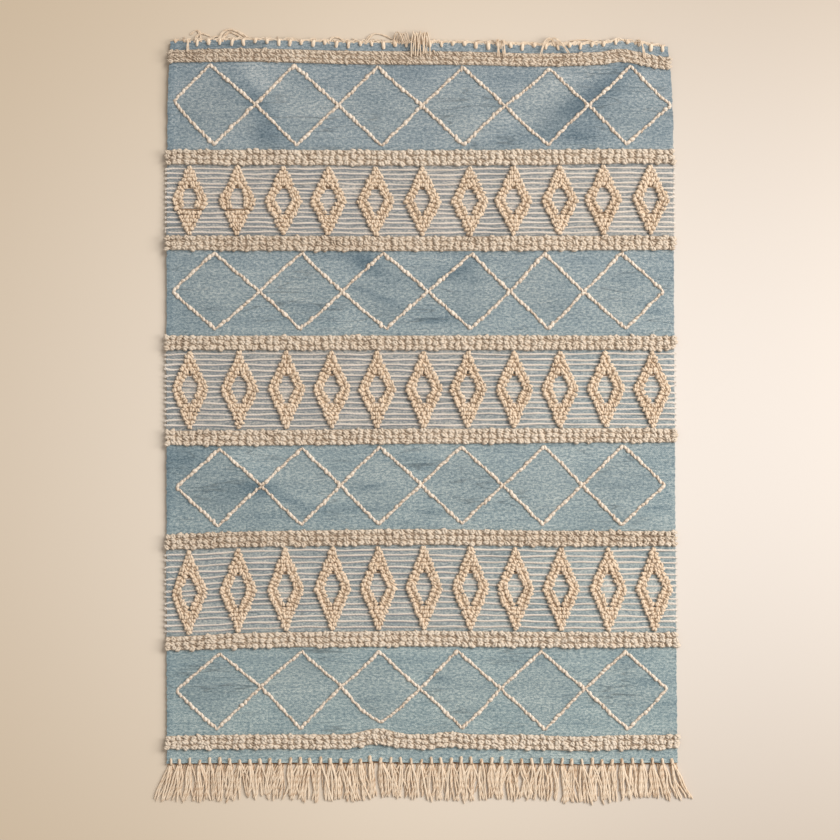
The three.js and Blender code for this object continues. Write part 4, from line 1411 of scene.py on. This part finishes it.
def dress(piece, material):
    """A piece with its finish, riding on the rug."""
    piece.data.materials.clear()
    piece.data.materials.append(material)
    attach(piece, "root")
    return piece


SPUN_YARN = spun_yarn_effect()
FLAT_WEAVE = flat_weave_effect()
blue_kilim = cloth_finish()
yarn = {name: yarn_finish(name, *spun) for name, spun in YARNS.items()}

# The rug's pieces

ground = dress(blue_cloth(), blue_kilim)
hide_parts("ground")

for number, (middle, breadth) in enumerate(PILE_BANDS, 1):
    kind = (FLAT_NUBS, FLAT_ROWS) if number == len(PILE_BANDS) else (BAND_NUBS, BAND_ROWS)
    band = dress(band_pile(f"band_pile_{number}", middle, breadth, *kind), yarn["pile_cream"])
    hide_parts(f"pile_band_{number}")

for number, row in enumerate(DIAMOND_ROWS, 1):
    diamonds = dress(diamond_pile(f"diamond_pile_{number}", row), yarn["pile_tan"])
    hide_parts(*(f"pile_diamond_{number}_{k + 1}" for k in range(DIAMONDS_IN_ROW)))

dress(stripe_yarns("pinstripes", *CREAM_WEFT), yarn["stripe_cream"])
dress(stripe_yarns("dark_wefts_and_shadows", *DARK_WEFT_AND_SHADOW), yarn["stripe_dark"])

for number, row in enumerate(LINE_ROWS, 1):
    wraps = dress(line_wraps(f"line_wraps_{number}", *row), yarn["line_cream"])
    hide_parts(f"line_row_{number}")

low_fringe = join_pieces(
    "fringe_strands_bottom",
    [
        bottom_tassels("bottom_strands"),
        under_strands("bottom_under"),
        knot_ticks("bottom_ticks", BOTTOM_TASSELS, 0.0, -1, *BOTTOM_TICKS),
    ],
)
dress(low_fringe, yarn["fringe_cream"])
dress(hem_shadow_line("hem_shadow_line"), yarn["hem_shadow_brown"])
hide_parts("fringe_bottom")
top_fringe = join_pieces(
    "fringe_strands_top",
    [
        tucked_strands("tucked_strands"),
        knot_ticks("top_ticks", TOP_TASSELS, CLOTH_LENGTH, 1, *TOP_TICKS, first=TOP_TICKS_FROM),
        edge_fuzz("edge_fuzz"),
        loose_strands("loose_strands"),
    ],
)
dress(top_fringe, yarn["fringe_cream"])
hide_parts("fringe_top")

# Floor, light and camera

# Painted light and shade on the floor: its screen colours at the left and the right, and the painted
# shade that dims it further off
FLOOR_LEFT = linear(236, 227, 217)
FLOOR_RIGHT = linear(215, 207, 200)
FLOOR_PAINTED_SHADE = linear(214, 202, 183)
CAMERA_PLACE = (-0.0012, -0.0403, 4.689)
CAMERA_LENS = 85

clear_selection()
bpy.ops.mesh.primitive_plane_add(size=14)
floor = bpy.context.object
floor.name = "floor"
floor_paint, tree, shader = finish_of("floor_paint", 0.9, 0.0)
place = object_place(tree)
# Painted light: the floor is brightest near the rug's right side and dims further off
off = add(tree, "ShaderNodeMapping", {"Vector": place, "Location": (-0.66, 0.12, 0.0), "Scale": (1, 1.4, 1)})
far = add(tree, "ShaderNodeVectorMath", {0: off.outputs[0]}, operation="LENGTH").outputs["Value"]
painted_falloff = ranged(tree, far, 0.0, 2.6)
painted_falloff.node.interpolation_type = "SMOOTHSTEP"
sideways = ranged(tree, add(tree, "ShaderNodeSeparateXYZ", {0: place}).outputs[0], -0.19, 0.93)
sideways.node.interpolation_type = "SMOOTHSTEP"
paint = mixed(tree, sideways, FLOOR_LEFT, FLOOR_RIGHT)
paint = mixed(tree, painted_falloff, paint, FLOOR_PAINTED_SHADE, blend="MULTIPLY")
tree.links.new(paint, shader.inputs["Base Color"])
floor.data.materials.append(floor_paint)

world = bpy.data.worlds.new("studio") if not bpy.data.worlds else bpy.data.worlds[0]
bpy.context.scene.world = world
world.use_nodes = True
background = world.node_tree.nodes["Background"]
background.inputs["Color"].default_value = (1.0, 0.948, 0.895, 1)
background.inputs["Strength"].default_value = 0.5


def lamp(kind, name, place, power, colour, **settings):
    """A lamp that faces the middle of the rug."""
    clear_selection()
    bpy.ops.object.light_add(type=kind, location=place)
    light = bpy.context.object
    light.name = name
    light.data.energy = power
    light.data.color = colour
    for setting, value in settings.items():
        setattr(light.data, setting, value)
    light.rotation_euler = (-Vector(place)).to_track_quat("-Z", "Y").to_euler()


lamp("SUN", "window_light", (2.6, 2.5, 3.45), 1.8, (1.0, 0.995, 0.98), angle=math.radians(30))
lamp("AREA", "side_fill", (3.0, 0.4, 2.0), 75, (1.0, 0.98, 0.95), size=1.6)

scene = bpy.context.scene
scene.view_settings.view_transform = "Standard"
clear_selection()
bpy.ops.object.camera_add(location=CAMERA_PLACE, rotation=(0, 0, 0))
camera = bpy.context.object
camera.data.lens = CAMERA_LENS
camera.data.sensor_width = 36
camera.data.clip_end = 100
scene.camera = camera
